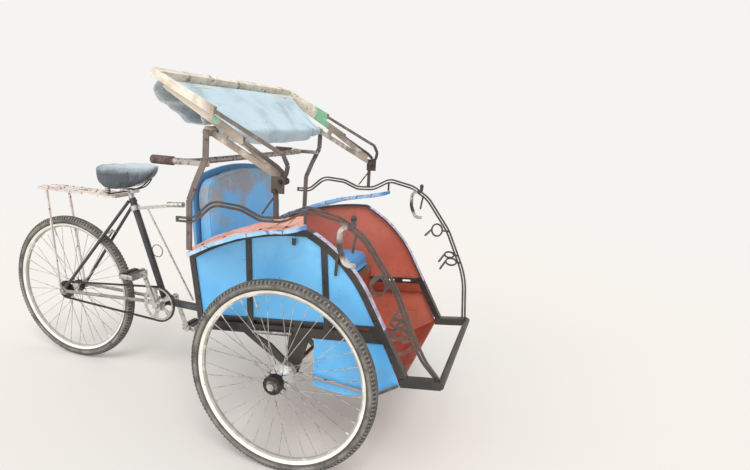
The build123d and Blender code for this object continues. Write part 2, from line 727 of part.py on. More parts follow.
def bow(points, rank, wood_from, cross):
    """A hood bow: two strip legs from eyes on the pivot, and a cross bar at their ends."""
    metal = 12
    with BuildPart() as hoop:
        path = [(0, 0)] + list(points)
        (x0, z0), (x1, z1) = path[-2], path[-1]
        for side, sign in SIDES:
            y = -sign * leg_y(rank)
            for (xa, za), (xb, zb) in zip(path, path[1:]):
                bar(pivot_at(xa, y, za), pivot_at(xb, y, zb), HOOD_STRIP, metal)
            with BuildSketch(Plane(origin=pivot_at(0, y - HOOD_STRIP / 2, 0), z_dir=(0, 1, 0))) as eye:
                RegularPolygon(EYE_R, 8)
            extrude(eye.sketch, amount=HOOD_STRIP)
            start = pivot_at(x0 + (x1 - x0) * wood_from, y, z0 + (z1 - z0) * wood_from)
            bar(start, pivot_at(x1, y, z1), HOOD_STRIP, WOOD_W if rank < 2 else POST_W)
        reach = leg_y(rank) + HOOD_STRIP / 2 if rank < 2 else RAILING_Y - ROD / 2 - POST_T
        bar(pivot_at(x1, -reach, z1), pivot_at(x1, reach, z1), cross, cross, x_dir=(x1 - x0, 0, z1 - z0))
        with Locations(Plane(origin=pivot_at(0, 0, 0), z_dir=(0, 1, 0)).location):
            Cylinder(PIN_R + RUN_FIT, 2 * HOOD_Y + 20, mode=Mode.SUBTRACT)
        if rank == 2:
            (xa, za), (xb, zb) = REAR_SPACER
            for side, sign in SIDES:
                y = -sign * leg_y(rank)
                bar(pivot_at(xa, y, za), pivot_at(xb, y, zb), HOOD_STRIP, POST_W)
                bar(pivot_at(xa + 20, y, za - 10), pivot_at(xa - 6, y, za - 50), HOOD_STRIP, POST_W)
    return hoop


hood_front_bow = bow(FRONT_LEG, 0, 0.52, WOOD_W)
finish(hood_front_bow, "hood_front_bow")
hood_middle_bow = bow(MIDDLE_LEG, 1, 0.3, CROSS)
finish(hood_middle_bow, "hood_middle_bow")
hood_rear_bow = bow((REAR_LEG,), 2, 0.05, CROSS)
finish(hood_rear_bow, "hood_rear_bow")


# Side planes on the hood's pivot, and on the middle cross bar with x down its leg to the pivot
PIVOT_PLANE = Plane(origin=pivot_at(0, 0, 0), x_dir=(1, 0, 0), z_dir=(0, -1, 0))
(leg_x, leg_z), (bar_x, bar_z) = MIDDLE_LEG[-2:]
BAR_PLANE = Plane(origin=pivot_at(bar_x, 0, bar_z), x_dir=(leg_x - bar_x, 0, leg_z - bar_z), z_dir=(0, -1, 0))
# The sheet laid over the middle and rear cross bars with its hem in front of the rear one, round its section
BAR_TOP = CROSS / 2 + SEAT_GAP
SHEET_TOP = BAR_TOP + 8.0
CLOTH_SKIN = (
    (-14.0, BAR_TOP), (14.0, BAR_TOP), (184.0, -29.5), (207.0, -30.0), (210.0, -33.0), (214.0, -85.0),
    (222.0, -85.0), (219.0, -36.0), (212.0, -22.0), (186.0, -21.5), (15.0, SHEET_TOP), (-14.0, SHEET_TOP),
)
# The slack bunch hanging under the front and middle cross bars, from the pivot
CLOTH_BELLY = (
    (-517.0, 247.0), (-440.0, 183.0), (-382.0, 154.0), (-306.0, 143.0), (-298.0, 160.0), (-330.0, 196.0),
    (-396.0, 256.0), (-413.8, 252.3), (-434.6, 264.2), (-455.0, 276.0), (-482.0, 290.0), (-492.0, 300.0),
    (-510.0, 277.0),
)
CLOTH_HALF = HOOD_Y - 45.0

for label, place, section in (
    ("hood_cloth_front", PIVOT_PLANE, CLOTH_BELLY),
    ("hood_cloth_rear", BAR_PLANE, CLOTH_SKIN),
):
    with BuildPart() as cloth:
        with BuildSketch(place.offset(-CLOTH_HALF)):
            with BuildLine():
                Polyline(*section, close=True)
            make_face()
        extrude(amount=2 * CLOTH_HALF)
    finish(cloth, label)

# Handlebar with its ends bent back to the rider

with BuildPart() as handlebar:
    bent(
        [
            at(BAR_REAR, -BAR_HALF, BAR_Z), at(BAR_X, -BAR_HALF, BAR_Z),
            at(BAR_X, BAR_HALF, BAR_Z), at(BAR_REAR, BAR_HALF, BAR_Z),
        ],
        (BAR_BEND, BAR_BEND),
        BAR_R,
        sides=BAR_FLATS,
    )
    for side, sign in SIDES:
        with Locations(at(BAR_LUG_X, -sign * (RAILING_Y - (ROD + BAR_LUG_T) / 2 - POST_T), BAR_Z)):
            Box(BAR_LUG_L, BAR_LUG_T, BAR_LUG_H)
finish(handlebar, "handlebar")

with BuildPart() as grips:
    for side, sign in SIDES:
        y = -sign * BAR_HALF
        rod(at(BAR_REAR - 6, y, BAR_Z), at(BAR_REAR + GRIP_LEN, y, BAR_Z), GRIP_R)
        with Locations(Plane(origin=at(BAR_REAR + GRIP_LEN, y, BAR_Z), z_dir=(1, 0, 0)).location):
            Cylinder(BAR_R + RUN_FIT, 2 * GRIP_LEN, mode=Mode.SUBTRACT)
finish(grips, "handlebar_grips")

# Bicycle frame behind the kingpin

bb = at(BB_X, 0, BB_Z)
seat_top = at(SEAT_TUBE_TOP[0], 0, SEAT_TUBE_TOP[1])
with BuildPart() as rear_frame:
    rod(at(BB_X, -BB_HALF, BB_Z), at(BB_X, BB_HALF, BB_Z), BB_R)
    rod(bb, seat_top, SEAT_TUBE_R)
    rod(bb, at(HEAD_X, 0, (HEAD_LOW + HEAD_TOP) / 2 - 8), LOWER_TUBE_R)
    rod(at(HEAD_X, 0, HEAD_LOW), at(HEAD_X, 0, HEAD_TOP), HEAD_R)
    with Locations(Plane(origin=bb, z_dir=(0, 1, 0)).location):
        Cylinder(SPINDLE_R + RUN_FIT, 4 * BB_HALF, mode=Mode.SUBTRACT)
    with Locations(at(HEAD_X, 0, HEAD_LOW)):
        Cylinder(PIN_KING_R + RUN_FIT, 4 * HEAD_R + 200, mode=Mode.SUBTRACT)
finish(rear_frame, "rear_frame")

for side, sign in SIDES:
    drop = at(-WHEELBASE, -sign * DROPOUT_Y, WHEEL_R)
    with BuildPart() as chain_stay:
        rod(at(BB_X - BB_R - 1, -sign * 25, BB_Z - 2), drop + Vector(21, 0, 0), CHAIN_STAY_R)
        rod(drop - Vector(0, DROPOUT_T / 2, 0), drop + Vector(0, DROPOUT_T / 2, 0), 20)
        with Locations(drop + Vector(26, 0, 0)):
            Box(32, DROPOUT_T, 14)
        with Locations(Plane(origin=drop, z_dir=(0, 1, 0)).location):
            Cylinder(REAR_AXLE_R, 40, mode=Mode.SUBTRACT)
    finish(chain_stay, f"chain_stay_{side}")
    with BuildPart() as seat_stay:
        rod(seat_top + Vector(0, -sign * (SEAT_TUBE_R + 7), -12), drop + Vector(13, 0, 18), SEAT_STAY_R)
    finish(seat_stay, f"seat_stay_{side}")

with BuildPart() as rear_axle:
    end = DROPOUT_Y + DROPOUT_T / 2 + 12
    rod(at(-WHEELBASE, -end, WHEEL_R), at(-WHEELBASE, end, WHEEL_R), REAR_AXLE_R)
    for side, sign in SIDES:
        with BuildSketch(SIDE.offset(sign * (DROPOUT_Y + DROPOUT_T / 2))):
            with Locations((-WHEELBASE, WHEEL_R)):
                RegularPolygon(11, 6)
        extrude(amount=sign * 9)
finish(rear_axle, "rear_axle")

tube_dir = (seat_top - bb).normalized()
post_top = seat_top + tube_dir * ((SADDLE_LOW - SEAT_GAP - POST_PLATE / 2 - seat_top.Z) / tube_dir.Z)
with BuildPart() as seat_post:
    rod(seat_top, post_top, POST_R)
    with Locations(post_top):
        Box(70, 44, POST_PLATE)
finish(seat_post, "seat_post")

with BuildPart() as saddle:
    with BuildSketch(Plane(at(0, 0, SADDLE_LOW))) as plan:
        with BuildLine():
            Polyline(*[(x, -half) for x, half in SADDLE_PLAN], *reversed(SADDLE_PLAN), close=True)
        make_face()
    extrude(plan.sketch, amount=max(z for _, z in SADDLE_SIDE) - SADDLE_LOW)
    with BuildSketch(SIDE) as side_view:
        with BuildLine():
            Polyline(*SADDLE_SIDE, close=True)
        make_face()
    extrude(side_view.sketch, amount=max(half for _, half in SADDLE_PLAN), both=True, mode=Mode.INTERSECT)
finish(saddle, "saddle")

# Rear carrier, and brake lever with its rod

with BuildPart() as carrier:
    r = CARRIER_ROD / 2
    front, back = CARRIER_FRONT, CARRIER_REAR
    for side, sign in SIDES:
        y = -sign * CARRIER_HALF
        bar(at(front, y, CARRIER_Z), at(back + 30, y, CARRIER_Z), CARRIER_ROD, CARRIER_ROD)
        bar(at(back + 30, y, CARRIER_Z), at(back, y + sign * 30, CARRIER_Z), CARRIER_ROD, CARRIER_ROD, (0, 0, 1))
        bar(at(front + 8, -sign * 20, CARRIER_Z), at(back + 2, -sign * 20, CARRIER_Z), CARRIER_ROD, CARRIER_ROD)
        foot = at(-WHEELBASE - 12, -sign * (DROPOUT_Y + DROPOUT_T / 2 + 5), WHEEL_R + 10)
        bar(at(-WHEELBASE - 60, y, CARRIER_Z), foot, CARRIER_ROD - 1, CARRIER_ROD - 1)
    for x in (back + 1, -WHEELBASE - 60, -WHEELBASE + 80, front + 4):
        reach = CARRIER_HALF if x > back + 20 else CARRIER_HALF - 28
        bar(at(x, -reach, CARRIER_Z), at(x, reach, CARRIER_Z), CARRIER_ROD, CARRIER_ROD, (1, 0, 0))
finish(carrier, "rear_carrier")

with BuildPart() as brake_lever:
    clamp = seat_top - tube_dir * LEVER_CLAMP
    tip = at(LEVER_TIP[0], 0, LEVER_TIP[1])
    with Locations(Plane(origin=clamp, z_dir=tube_dir).location):
        Cylinder(SEAT_TUBE_R + 6, 22)
        Cylinder(SEAT_TUBE_R, 24, mode=Mode.SUBTRACT)
    bar(clamp + Vector(SEAT_TUBE_R + 3, 0, 0), tip, 10, 14)
    rod(tip - Vector(70, 0, 6), tip + Vector(12, 0, 1), 12)
    (x0, z0), (x1, z1) = BRAKE_ROD
    rod(at(x0, 0, z0), at(x1, 0, z1), 4)
finish(brake_lever, "brake_lever")

# Sprocket, chainring, cranks, pedals and chain


def toothed(centre, teeth):
    """Sprocket outline with straight-flanked teeth, on the chain's plane."""
    pitch_r = PITCH / 2 / sin(pi / teeth)
    points = []
    for tooth in range(teeth):
        step = 2 * pi / teeth
        for share, radius in ((0.0, pitch_r - 4.2), (0.36, pitch_r + 3.2), (0.64, pitch_r + 3.2)):
            angle = step * (tooth + share)
            points.append((centre[0] + radius * cos(angle), centre[1] + radius * sin(angle)))
    return points


with BuildPart() as cog:
    centre = (-WHEELBASE, WHEEL_R)
    with BuildSketch(SIDE.offset(-CHAIN_Y - TOOTH_T / 2)):
        with BuildLine():
            Polyline(*toothed(centre, COG_TEETH), close=True)
        make_face()
        with Locations(centre):
            Circle(REAR_AXLE_R + RUN_FIT, mode=Mode.SUBTRACT)
    extrude(amount=TOOTH_T)
    with BuildSketch(SIDE.offset(FLANGE_GAP / 2 + 8)):
        with Locations(centre):
            Circle(26)
            Circle(REAR_AXLE_R + RUN_FIT, mode=Mode.SUBTRACT)
    extrude(amount=-CHAIN_Y - FLANGE_GAP / 2 - 4)
finish(cog, "rear_sprocket")

crank_dir = Vector(cos(radians(CRANK_ANGLE)), 0, sin(radians(CRANK_ANGLE)))
RING_ARMS = 5
WINDOW_R = 48.0
# Corners of the window between two arms, outwards and across, from its middle
WINDOW = ((-16, -8), (-10, -17), (12, -28), (18, -17), (21, 0), (18, 17), (12, 28), (-10, 17), (-16, 8))
with BuildPart() as crank_set:
    centre = (BB_X, BB_Z)
    rod(bb + Vector(0, CRANK_IN + CRANK_T, 0), bb - Vector(0, CRANK_IN + CRANK_T, 0), SPINDLE_R)
    with BuildSketch(SIDE.offset(-CHAIN_Y - TOOTH_T / 2)):
        with BuildLine():
            Polyline(*toothed(centre, RING_TEETH), close=True)
        make_face()
        with Locations(centre):
            with PolarLocations(WINDOW_R, RING_ARMS):
                Polygon(*WINDOW, align=None, mode=Mode.SUBTRACT)
    extrude(amount=TOOTH_T)
    with BuildSketch(SIDE.offset(BB_HALF + 2)):
        with Locations(centre):
            Circle(24)
    extrude(amount=CRANK_IN - BB_HALF - 2)
    for sign in (1, -1):
        eye = bb + crank_dir * sign * CRANK_LEN
        y = -sign * (CRANK_IN + CRANK_T / 2)
        bar(bb + Vector(0, y, 0), eye + Vector(0, y, 0), CRANK_T, CRANK_W)
        rod(bb + Vector(0, y - CRANK_T / 2, 0), bb + Vector(0, y + CRANK_T / 2, 0), 15)
        rod(eye + Vector(0, y - CRANK_T / 2, 0), eye + Vector(0, y + CRANK_T / 2, 0), 13)
        inner_y = -sign * CRANK_IN
        rod(eye + Vector(0, inner_y, 0), eye + Vector(0, inner_y - sign * (CRANK_T + PEDAL_L + 6), 0), PEDAL_PIN_R)
finish(crank_set, "crank_set")

for side, sign in SIDES:
    eye = bb + crank_dir * sign * CRANK_LEN
    y0 = -sign * (CRANK_IN + CRANK_T + 5)
    y1 = y0 - sign * PEDAL_L
    with BuildPart() as pedal:
        bar(eye + Vector(0, y0, 0), eye + Vector(0, y1, 0), 17, 17, (1, 0, 0))
        for x in (-1, 1):
            off = Vector(x * (PEDAL_W / 2 - 9), 0, 0)
            bar(eye + off + Vector(0, y0, 0), eye + off + Vector(0, y1, 0), 18, PEDAL_T, (1, 0, 0))
        for y in (y0 - sign * 4, y1 + sign * 4):
            with Locations(eye + Vector(0, y, 0)):
                Box(PEDAL_W - 4, 6, 16)
        with Locations(Plane(origin=eye + Vector(0, (y0 + y1) / 2, 0), z_dir=(0, 1, 0)).location):
            Cylinder(PEDAL_PIN_R + RUN_FIT, 2 * PEDAL_L, mode=Mode.SUBTRACT)
    finish(pedal, f"pedal_{side}")

ring_r = PITCH / 2 / sin(pi / RING_TEETH)
cog_r = PITCH / 2 / sin(pi / COG_TEETH)
span = hypot(WHEELBASE + BB_X, BB_Z - WHEEL_R)
chain_tilt = degrees(atan2(BB_Z - WHEEL_R, WHEELBASE + BB_X))
CHAIN_PLANE = Plane(
    origin=at(-WHEELBASE, 0, WHEEL_R),
    x_dir=(cos(radians(chain_tilt)), 0, sin(radians(chain_tilt))),
    z_dir=(0, -1, 0),
)


def chain_loop(grow):
    """Outline of the chain round both sprockets, grown from its pitch line."""
    small, big = cog_r + grow, ring_r + grow
    lean = degrees(atan2(big - small, span))
    top = 90 + lean
    with BuildSketch(Plane.XY) as loop:
        with BuildLine():
            a = (small * cos(radians(top)), small * sin(radians(top)))
            b = (span + big * cos(radians(top)), big * sin(radians(top)))
            Line(a, b)
            ThreePointArc(b, (span + big, 0), (b[0], -b[1]))
            Line((b[0], -b[1]), (a[0], -a[1]))
            ThreePointArc((a[0], -a[1]), (-small, 0), a)
        make_face()
    return loop.sketch


with BuildPart() as chain:
    strip = chain_loop(PLATE_H / 2) - chain_loop(-PLATE_H / 2)
    for y in (PLATE_GAP / 2, -PLATE_GAP / 2 - PLATE_T):
        extrude(CHAIN_PLANE.offset(-CHAIN_Y + y) * strip, amount=PLATE_T)
    lean = atan2(ring_r - cog_r, span)
    run = span * cos(lean)
    near_cog, near_ring = 2.4 * PITCH, 3.1 * PITCH
    count = int((run - near_cog - near_ring) / PITCH) + 1
    spots = []
    for direction in (1, -1):
        start = Vector(-sin(lean) * cog_r, direction * cos(lean) * cog_r)
        along = Vector(cos(lean), direction * sin(lean))
        for link in range(0, count, 2):
            point = start + along * (near_cog + link * PITCH)
            spots.append((point.X, point.Y))
    with BuildSketch(CHAIN_PLANE.offset(-CHAIN_Y - PLATE_GAP / 2)):
        with Locations(*spots):
            Rectangle(6, 6)
    extrude(amount=PLATE_GAP)
finish(chain, "chain")
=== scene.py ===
"""Cycle rickshaw: finishes, pads, hood cloth, tyres and small fittings over the CAD frame."""

from math import atan2, copysign, cos, exp, hypot, pi, radians, sin

import bmesh
import bpy
from mathutils import Matrix, Vector


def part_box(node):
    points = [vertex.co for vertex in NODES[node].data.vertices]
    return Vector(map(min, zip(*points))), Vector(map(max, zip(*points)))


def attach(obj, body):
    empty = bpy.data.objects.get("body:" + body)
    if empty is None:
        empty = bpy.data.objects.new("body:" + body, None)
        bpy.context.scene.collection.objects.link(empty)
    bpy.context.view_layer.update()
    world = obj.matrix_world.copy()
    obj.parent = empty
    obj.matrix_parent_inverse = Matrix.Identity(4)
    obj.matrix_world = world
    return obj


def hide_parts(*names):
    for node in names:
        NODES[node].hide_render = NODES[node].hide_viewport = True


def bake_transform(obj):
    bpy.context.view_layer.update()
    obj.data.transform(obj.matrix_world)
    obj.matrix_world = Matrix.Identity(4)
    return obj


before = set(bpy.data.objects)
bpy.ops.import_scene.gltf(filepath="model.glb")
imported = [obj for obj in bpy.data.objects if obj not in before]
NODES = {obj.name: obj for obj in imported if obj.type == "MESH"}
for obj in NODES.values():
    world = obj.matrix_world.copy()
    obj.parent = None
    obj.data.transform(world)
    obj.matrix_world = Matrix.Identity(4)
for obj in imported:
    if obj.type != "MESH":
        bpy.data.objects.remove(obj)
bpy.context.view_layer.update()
SCENE = bpy.context.scene

# Main sizes in millimetres, but for the front axle's place in the frame
MM = 0.001
AXLE_X = 0.570
WHEEL_R = 355.0
WHEELBASE = 1338.0
HALF_TRACK = 397.0
BODY_HALF = 313.0
RAILING_Y = 450.0
SIDES = (("right", -1), ("left", 1))
WHEELS = (
    ("front_{}_right", 0.0, -HALF_TRACK, "wheel_right"),
    ("front_{}_left", 0.0, HALF_TRACK, "wheel_left"),
    ("rear_{}", -WHEELBASE, 0.0, "rear_wheel"),
)


def at(x, y, z):
    """A point in millimetres from the front axle, z from the ground."""
    return Vector((AXLE_X + x * MM, y * MM, z * MM))


# Camera, lamps and floor; the camera was worked out from the wheels in the photograph

CAMERA_AT = Vector((1.330, -1.844, 1.246))
YAW, PITCH, ROLL = radians(17.169), radians(12.801), radians(3.354)
FOCAL_PX, FRAME_PX, SENSOR = 511.58, 750, 36.0
NEAR, FAR = 0.05, 80.0
LAMPS = (
    ("sun", (-0.30, 0.55, -0.85), 1.45, 30),
    ("fill", (0.5, 0.8, -0.35), 0.95, 60),
)
SKY_STRENGTH = 0.80
BACKGROUND = "#F5F4F2"
FLOOR_TONE = "#DEDAD4"
FLOOR_ROUGHNESS = 0.9
FLOOR_HALF = 30.0
FADE_FROM, FADE_TO = 2.6, 7.0
MATERIALS = {}


def placed(name, data):
    """A new object in the scene."""
    made = bpy.data.objects.new(name, data)
    SCENE.collection.objects.link(made)
    return made


def as_mesh(made):
    """A bmesh as a mesh; the bmesh goes."""
    mesh = bpy.data.meshes.new("made")
    made.to_mesh(mesh)
    made.free()
    return mesh


def make_camera():
    """The photograph's camera, turned about its own line of sight."""
    level = cos(PITCH)
    ahead = Vector((-sin(YAW) * level, cos(YAW) * level, -sin(PITCH)))
    right = Vector((cos(YAW), sin(YAW), 0))
    up = right.cross(ahead)
    rolled_right = right * cos(ROLL) + up * sin(ROLL)
    rolled_up = up * cos(ROLL) - right * sin(ROLL)
    turn = Matrix((rolled_right, rolled_up, -ahead)).transposed().to_4x4()
    data = bpy.data.cameras.new("camera")
    data.sensor_width = SENSOR
    data.lens = FOCAL_PX * SENSOR / FRAME_PX
    data.clip_start, data.clip_end = NEAR, FAR
    camera = placed("camera", data)
    camera.matrix_world = Matrix.Translation(CAMERA_AT) @ turn
    SCENE.camera = camera


def colour(code):
    """An sRGB hex value as linear colour."""
    parts = [int(code[i : i + 2], 16) / 255 for i in (1, 3, 5)]
    linear = [c / 12.92 if c <= 0.04045 else ((c + 0.055) / 1.055) ** 2.4 for c in parts]
    return (*linear, 1.0)


def node(tree, kind, inputs=None, out=0, **settings):
    """Adds a shader node with its settings, values and links; gives one of its outputs."""
    made = tree.nodes.new("ShaderNode" + kind)
    for key, value in settings.items():
        setattr(made, key, value)
    for key, value in (inputs or {}).items():
        if isinstance(value, bpy.types.NodeSocket):
            tree.links.new(value, made.inputs[key])
        else:
            made.inputs[key].default_value = colour(value) if isinstance(value, str) else value
    return made.outputs[out] if made.outputs else None


def begin(name):
    """A new material's tree, and the place that its patterns follow."""
    made = bpy.data.materials.new(name)
    made.use_nodes = True
    made.node_tree.nodes.clear()
    MATERIALS[name] = made
    return made.node_tree, node(made.node_tree, "TexCoord", out="Object")


def make_world():
    """Even daylight; the background's own tone where the camera or a gloss sees it."""
    world = bpy.data.worlds.new("daylight")
    SCENE.world = world
    world.use_nodes = True
    tree = world.node_tree
    tree.nodes.clear()
    seen = node(tree, "LightPath", out="Is Camera Ray")
    for ray in ("Is Glossy Ray", "Is Transmission Ray"):
        other = node(tree, "LightPath", out=ray)
        seen = node(tree, "Math", {0: seen, 1: other}, operation="MAXIMUM")
    sky = node(tree, "Background", {"Color": "#FFFFFF", "Strength": SKY_STRENGTH})
    shown = node(tree, "Background", {"Color": BACKGROUND, "Strength": 1.0})
    mixed = node(tree, "MixShader", {0: seen, 1: sky, 2: shown})
    node(tree, "OutputWorld", {"Surface": mixed})


def make_lamp(name, toward, strength, spread):
    data = bpy.data.lights.new(name, "SUN")
    data.energy = strength
    data.angle = radians(spread)
    placed(name, data).rotation_euler = Vector(toward).to_track_quat("-Z", "Y").to_euler()


def make_floor():
    """A pale matt floor that fades into the background."""
    made = bmesh.new()
    bmesh.ops.create_grid(made, x_segments=1, y_segments=1, size=FLOOR_HALF)
    floor = placed("floor", as_mesh(made))
    tree, place = begin("pale_floor")
    away = node(tree, "VectorMath", {0: place}, "Value", operation="LENGTH")
    limits = {0: away, 1: FADE_FROM, 2: FADE_TO}
    fade = node(tree, "MapRange", limits, interpolation_type="SMOOTHSTEP")
    ground = node(tree, "BsdfPrincipled", {"Base Color": FLOOR_TONE, "Roughness": FLOOR_ROUGHNESS})
    glow = node(tree, "Emission", {"Color": BACKGROUND, "Strength": 1.0})
    mixed = node(tree, "MixShader", {0: fade, 1: ground, 2: glow})
    node(tree, "OutputMaterial", {"Surface": mixed})
    floor.data.materials.append(MATERIALS["pale_floor"])


SCENE.view_settings.view_transform = "Standard"
make_camera()
make_world()
for lamp_row in LAMPS:
    make_lamp(*lamp_row)
make_floor()

# Materials: what every finish is put together from

PAINT_IOR = 1.5
GRAIN_ROUGHNESS = 0.6
SEED_WAY = Vector((1.0, 1.7, 0.6))
SOFT_END = 0.002
OPEN = 2.0
CORNER_STARTS, CORNER_FULL = 0.995, 0.86


def surfaced(tree, tone, roughness, height, depth_mm, strength, metal=0.0):
    """Ends a material: its shader, with a height pattern of a real depth as bump."""
    bump = node(tree, "Bump", {"Height": height, "Strength": strength, "Distance": depth_mm * MM})
    values = {"Base Color": tone, "Roughness": roughness, "Metallic": metal, "Normal": bump}
    if metal == 0.0:
        values["IOR"] = PAINT_IOR
    node(tree, "OutputMaterial", {"Surface": node(tree, "BsdfPrincipled", values)})


def coats(tree, tone, *over):
    """Coats of paint, dirt and rust, each over the last where its mask says."""
    for top, mask in over:
        tone = node(tree, "Mix", {0: mask, 6: tone, 7: top}, 2, data_type="RGBA")
    return tone


def patches(place, size_mm, low, high, detail=5.0, stretch=(1, 1, 1), seed=0, share=1.0):
    """A soft-edged mask from noise with cells about size_mm across, as high as its share."""
    tree = place.id_data
    moved = node(tree, "Mapping", {"Vector": place, "Scale": stretch, "Location": SEED_WAY * seed})
    values = {"Vector": moved, "Scale": 1 / (size_mm * MM), "Detail": detail}
    grain = node(tree, "TexNoise", {**values, "Roughness": GRAIN_ROUGHNESS})
    limits = {0: grain, 1: low, 2: high, 4: share}
    return node(tree, "MapRange", limits, interpolation_type="SMOOTHSTEP")


def within(tree, *bands):
    """A mask of where every measure lies between its own limits, with soft ends."""
    mask = 1.0
    for measure, low, high, *given in bands:
        soft = given[0] if given else SOFT_END
        for outer, inner in ((low - soft, low + soft), (high + soft, high - soft)):
            mask = node(tree, "MapRange", {0: measure, 1: outer, 2: inner, 4: mask})
    return mask


def knocked_off(tree, grain, *gone, radius_mm=2.0):
    """Where a coat is gone: along its corners where the grain lets it, and in other masks."""
    eased = node(tree, "Bevel", {"Radius": radius_mm * MM}, samples=4)
    flat = node(tree, "NewGeometry", out="Normal")
    close = node(tree, "VectorMath", {0: eased, 1: flat}, "Value", operation="DOT_PRODUCT")
    corner = node(tree, "MapRange", {0: close, 1: CORNER_STARTS, 2: CORNER_FULL})
    bare = node(tree, "Math", {0: corner, 1: grain}, operation="MULTIPLY", use_clamp=True)
    for mask in gone:
        bare = node(tree, "Math", {0: bare, 1: mask}, operation="MAXIMUM")
    return bare


def outlook(place):
    """The parts of a place, and of the direction that the surface faces."""
    tree = place.id_data
    facing = node(tree, "NewGeometry", out="Normal")
    return [node(tree, "SeparateXYZ", {0: vector}).node.outputs for vector in (place, facing)]


def from_axle(place, axle_x):
    """The distance from a wheel's axle, in metres."""
    tree = place.id_data
    shift = (-(AXLE_X + axle_x * MM), 0, -WHEEL_R * MM)
    flat = node(tree, "Mapping", {"Vector": place, "Location": shift, "Scale": (1, 0, 1)})
    return node(tree, "VectorMath", {0: flat}, "Value", operation="LENGTH")


# Materials: the finishes; after a place stand a pattern's size in mm and its limits


def rusty_enamel(tree, place, paint, faded, rust="#4C3A30", amount=0.0, gloss=0.42):
    """Brushed-on enamel over rolled steel: uneven gloss, chips, and rust along its corners."""
    chips = patches(place, 22, 0.60 - amount, 0.66 - amount, 9.0, seed=3)
    bare = knocked_off(tree, patches(place, 9, 0.46, 0.60, 6, seed=7, share=0.8), chips)
    rusted = coats(tree, rust, ("#6E5040", patches(place, 7, 0.45, 0.65, 6)))
    tone = coats(tree, paint, (faded, patches(place, 120, 0.35, 0.7)), (rusted, bare))
    dull = node(tree, "MapRange", {0: bare, 3: gloss, 4: 0.85})
    brushed = patches(place, 4, 0.3, 0.7)
    height = node(tree, "Math", {0: brushed, 1: bare}, operation="SUBTRACT")
    surfaced(tree, tone, dull, height, depth_mm=0.25, strength=0.35)


def enamelled_steel(name, paint, faded, **wear):
    """One colour of enamel all over."""
    tree, place = begin(name)
    rusty_enamel(tree, place, paint, faded, **wear)


def body_angle_paint(name):
    """Black enamel; the flange that faces up and forward is lilac, weathered and chalky."""
    tree, place = begin(name)
    spot, facing = outlook(place)
    flange = within(
        tree, (facing["Z"], 0.22, OPEN, 0.02), (facing["X"], 0.25, OPEN, 0.02),
        (spot["X"], 0.640, OPEN), (spot["Z"], 0.56, 0.90),
    )
    lilac = coats(tree, "#C9C4DE", ("#9A95A6", patches(place, 30, 0.35, 0.62, 6, seed=2)))
    black = coats(tree, "#302D2B", ("#45403C", patches(place, 90, 0.35, 0.7)))
    faded = coats(tree, "#3A3532", (lilac, flange))
    rusty_enamel(tree, place, coats(tree, black, (lilac, flange)), faded)


def chassis_paint(name):
    """Black enamel, brick red where the rails face the footwell."""
    tree, place = begin(name)
    spot, facing = outlook(place)
    outward = node(tree, "Math", {0: facing["Y"], 1: spot["Y"]}, operation="MULTIPLY")
    footwell = within(tree, (outward, -OPEN, -0.2), (spot["X"], 0.658, OPEN))
    faded = coats(tree, "#3D3835", ("#93432F", footwell))
    rusty_enamel(tree, place, coats(tree, "#2B2826", ("#A04A38", footwell)), faded)


def hanger_paint(name):
    """Black enamel, rubbed to grey on the long stay that runs forward."""
    tree, place = begin(name)
    spot = node(tree, "SeparateXYZ", {0: place}).node.outputs
    stay = within(tree, (spot["X"], 0.615, OPEN, 0.01), (spot["Z"], 0.0, 0.40, 0.01))
    faded = coats(tree, "#45403C", ("#B9ADA2", stay))
    rusty_enamel(tree, place, coats(tree, "#302D2B", ("#9B8E85", stay)), faded)


def railing_paint(name):
    """Bent rod, brushed brown-black and rusting; the big scroll is pale grey."""
    tree, place = begin(name)
    spot = node(tree, "SeparateXYZ", {0: place}).node.outputs
    back = within(tree, (spot["X"], 0.775, 0.815), (spot["Z"], 0.885, 0.931, 0.012))
    foot = within(tree, (spot["X"], 0.775, 0.860), (spot["Z"], 0.80, 0.832, 0.008))
    scroll = node(tree, "Math", {0: back, 1: foot}, operation="MAXIMUM")
    grey = coats(tree, "#C4BFBA", ("#A19A94", patches(place, 14, 0.4, 0.65)))
    brown = patches(place, 60, 0.35, 0.7)
    paint = coats(tree, "#3E3632", ("#554A44", brown), (grey, scroll))
    rusty_enamel(tree, place, paint, paint, rust="#6B4733", amount=0.02, gloss=0.5)


def dull_metal(name, tone, dark, roughness, cell_mm=14):
    """Bare drawn or plated steel: it shines, but is greasy in patches and rusts in spots."""
    tree, place = begin(name)
    grease = patches(place, cell_mm, 0.45, 0.70, 7)
    rust = patches(place, 26, 0.64, 0.72, 8, seed=5)
    soiled = node(tree, "Math", {0: grease, 1: rust}, operation="MAXIMUM")
    dull = node(tree, "MapRange", {0: soiled, 3: roughness, 4: 0.7})
    metal = node(tree, "Math", {0: 1.0, 1: rust}, operation="SUBTRACT")
    pits = patches(place, 3, 0.3, 0.7)
    tone = coats(tree, tone, (dark, grease), ("#6E4A34", rust))
    surfaced(tree, tone, dull, pits, depth_mm=0.1, strength=0.3, metal=metal)


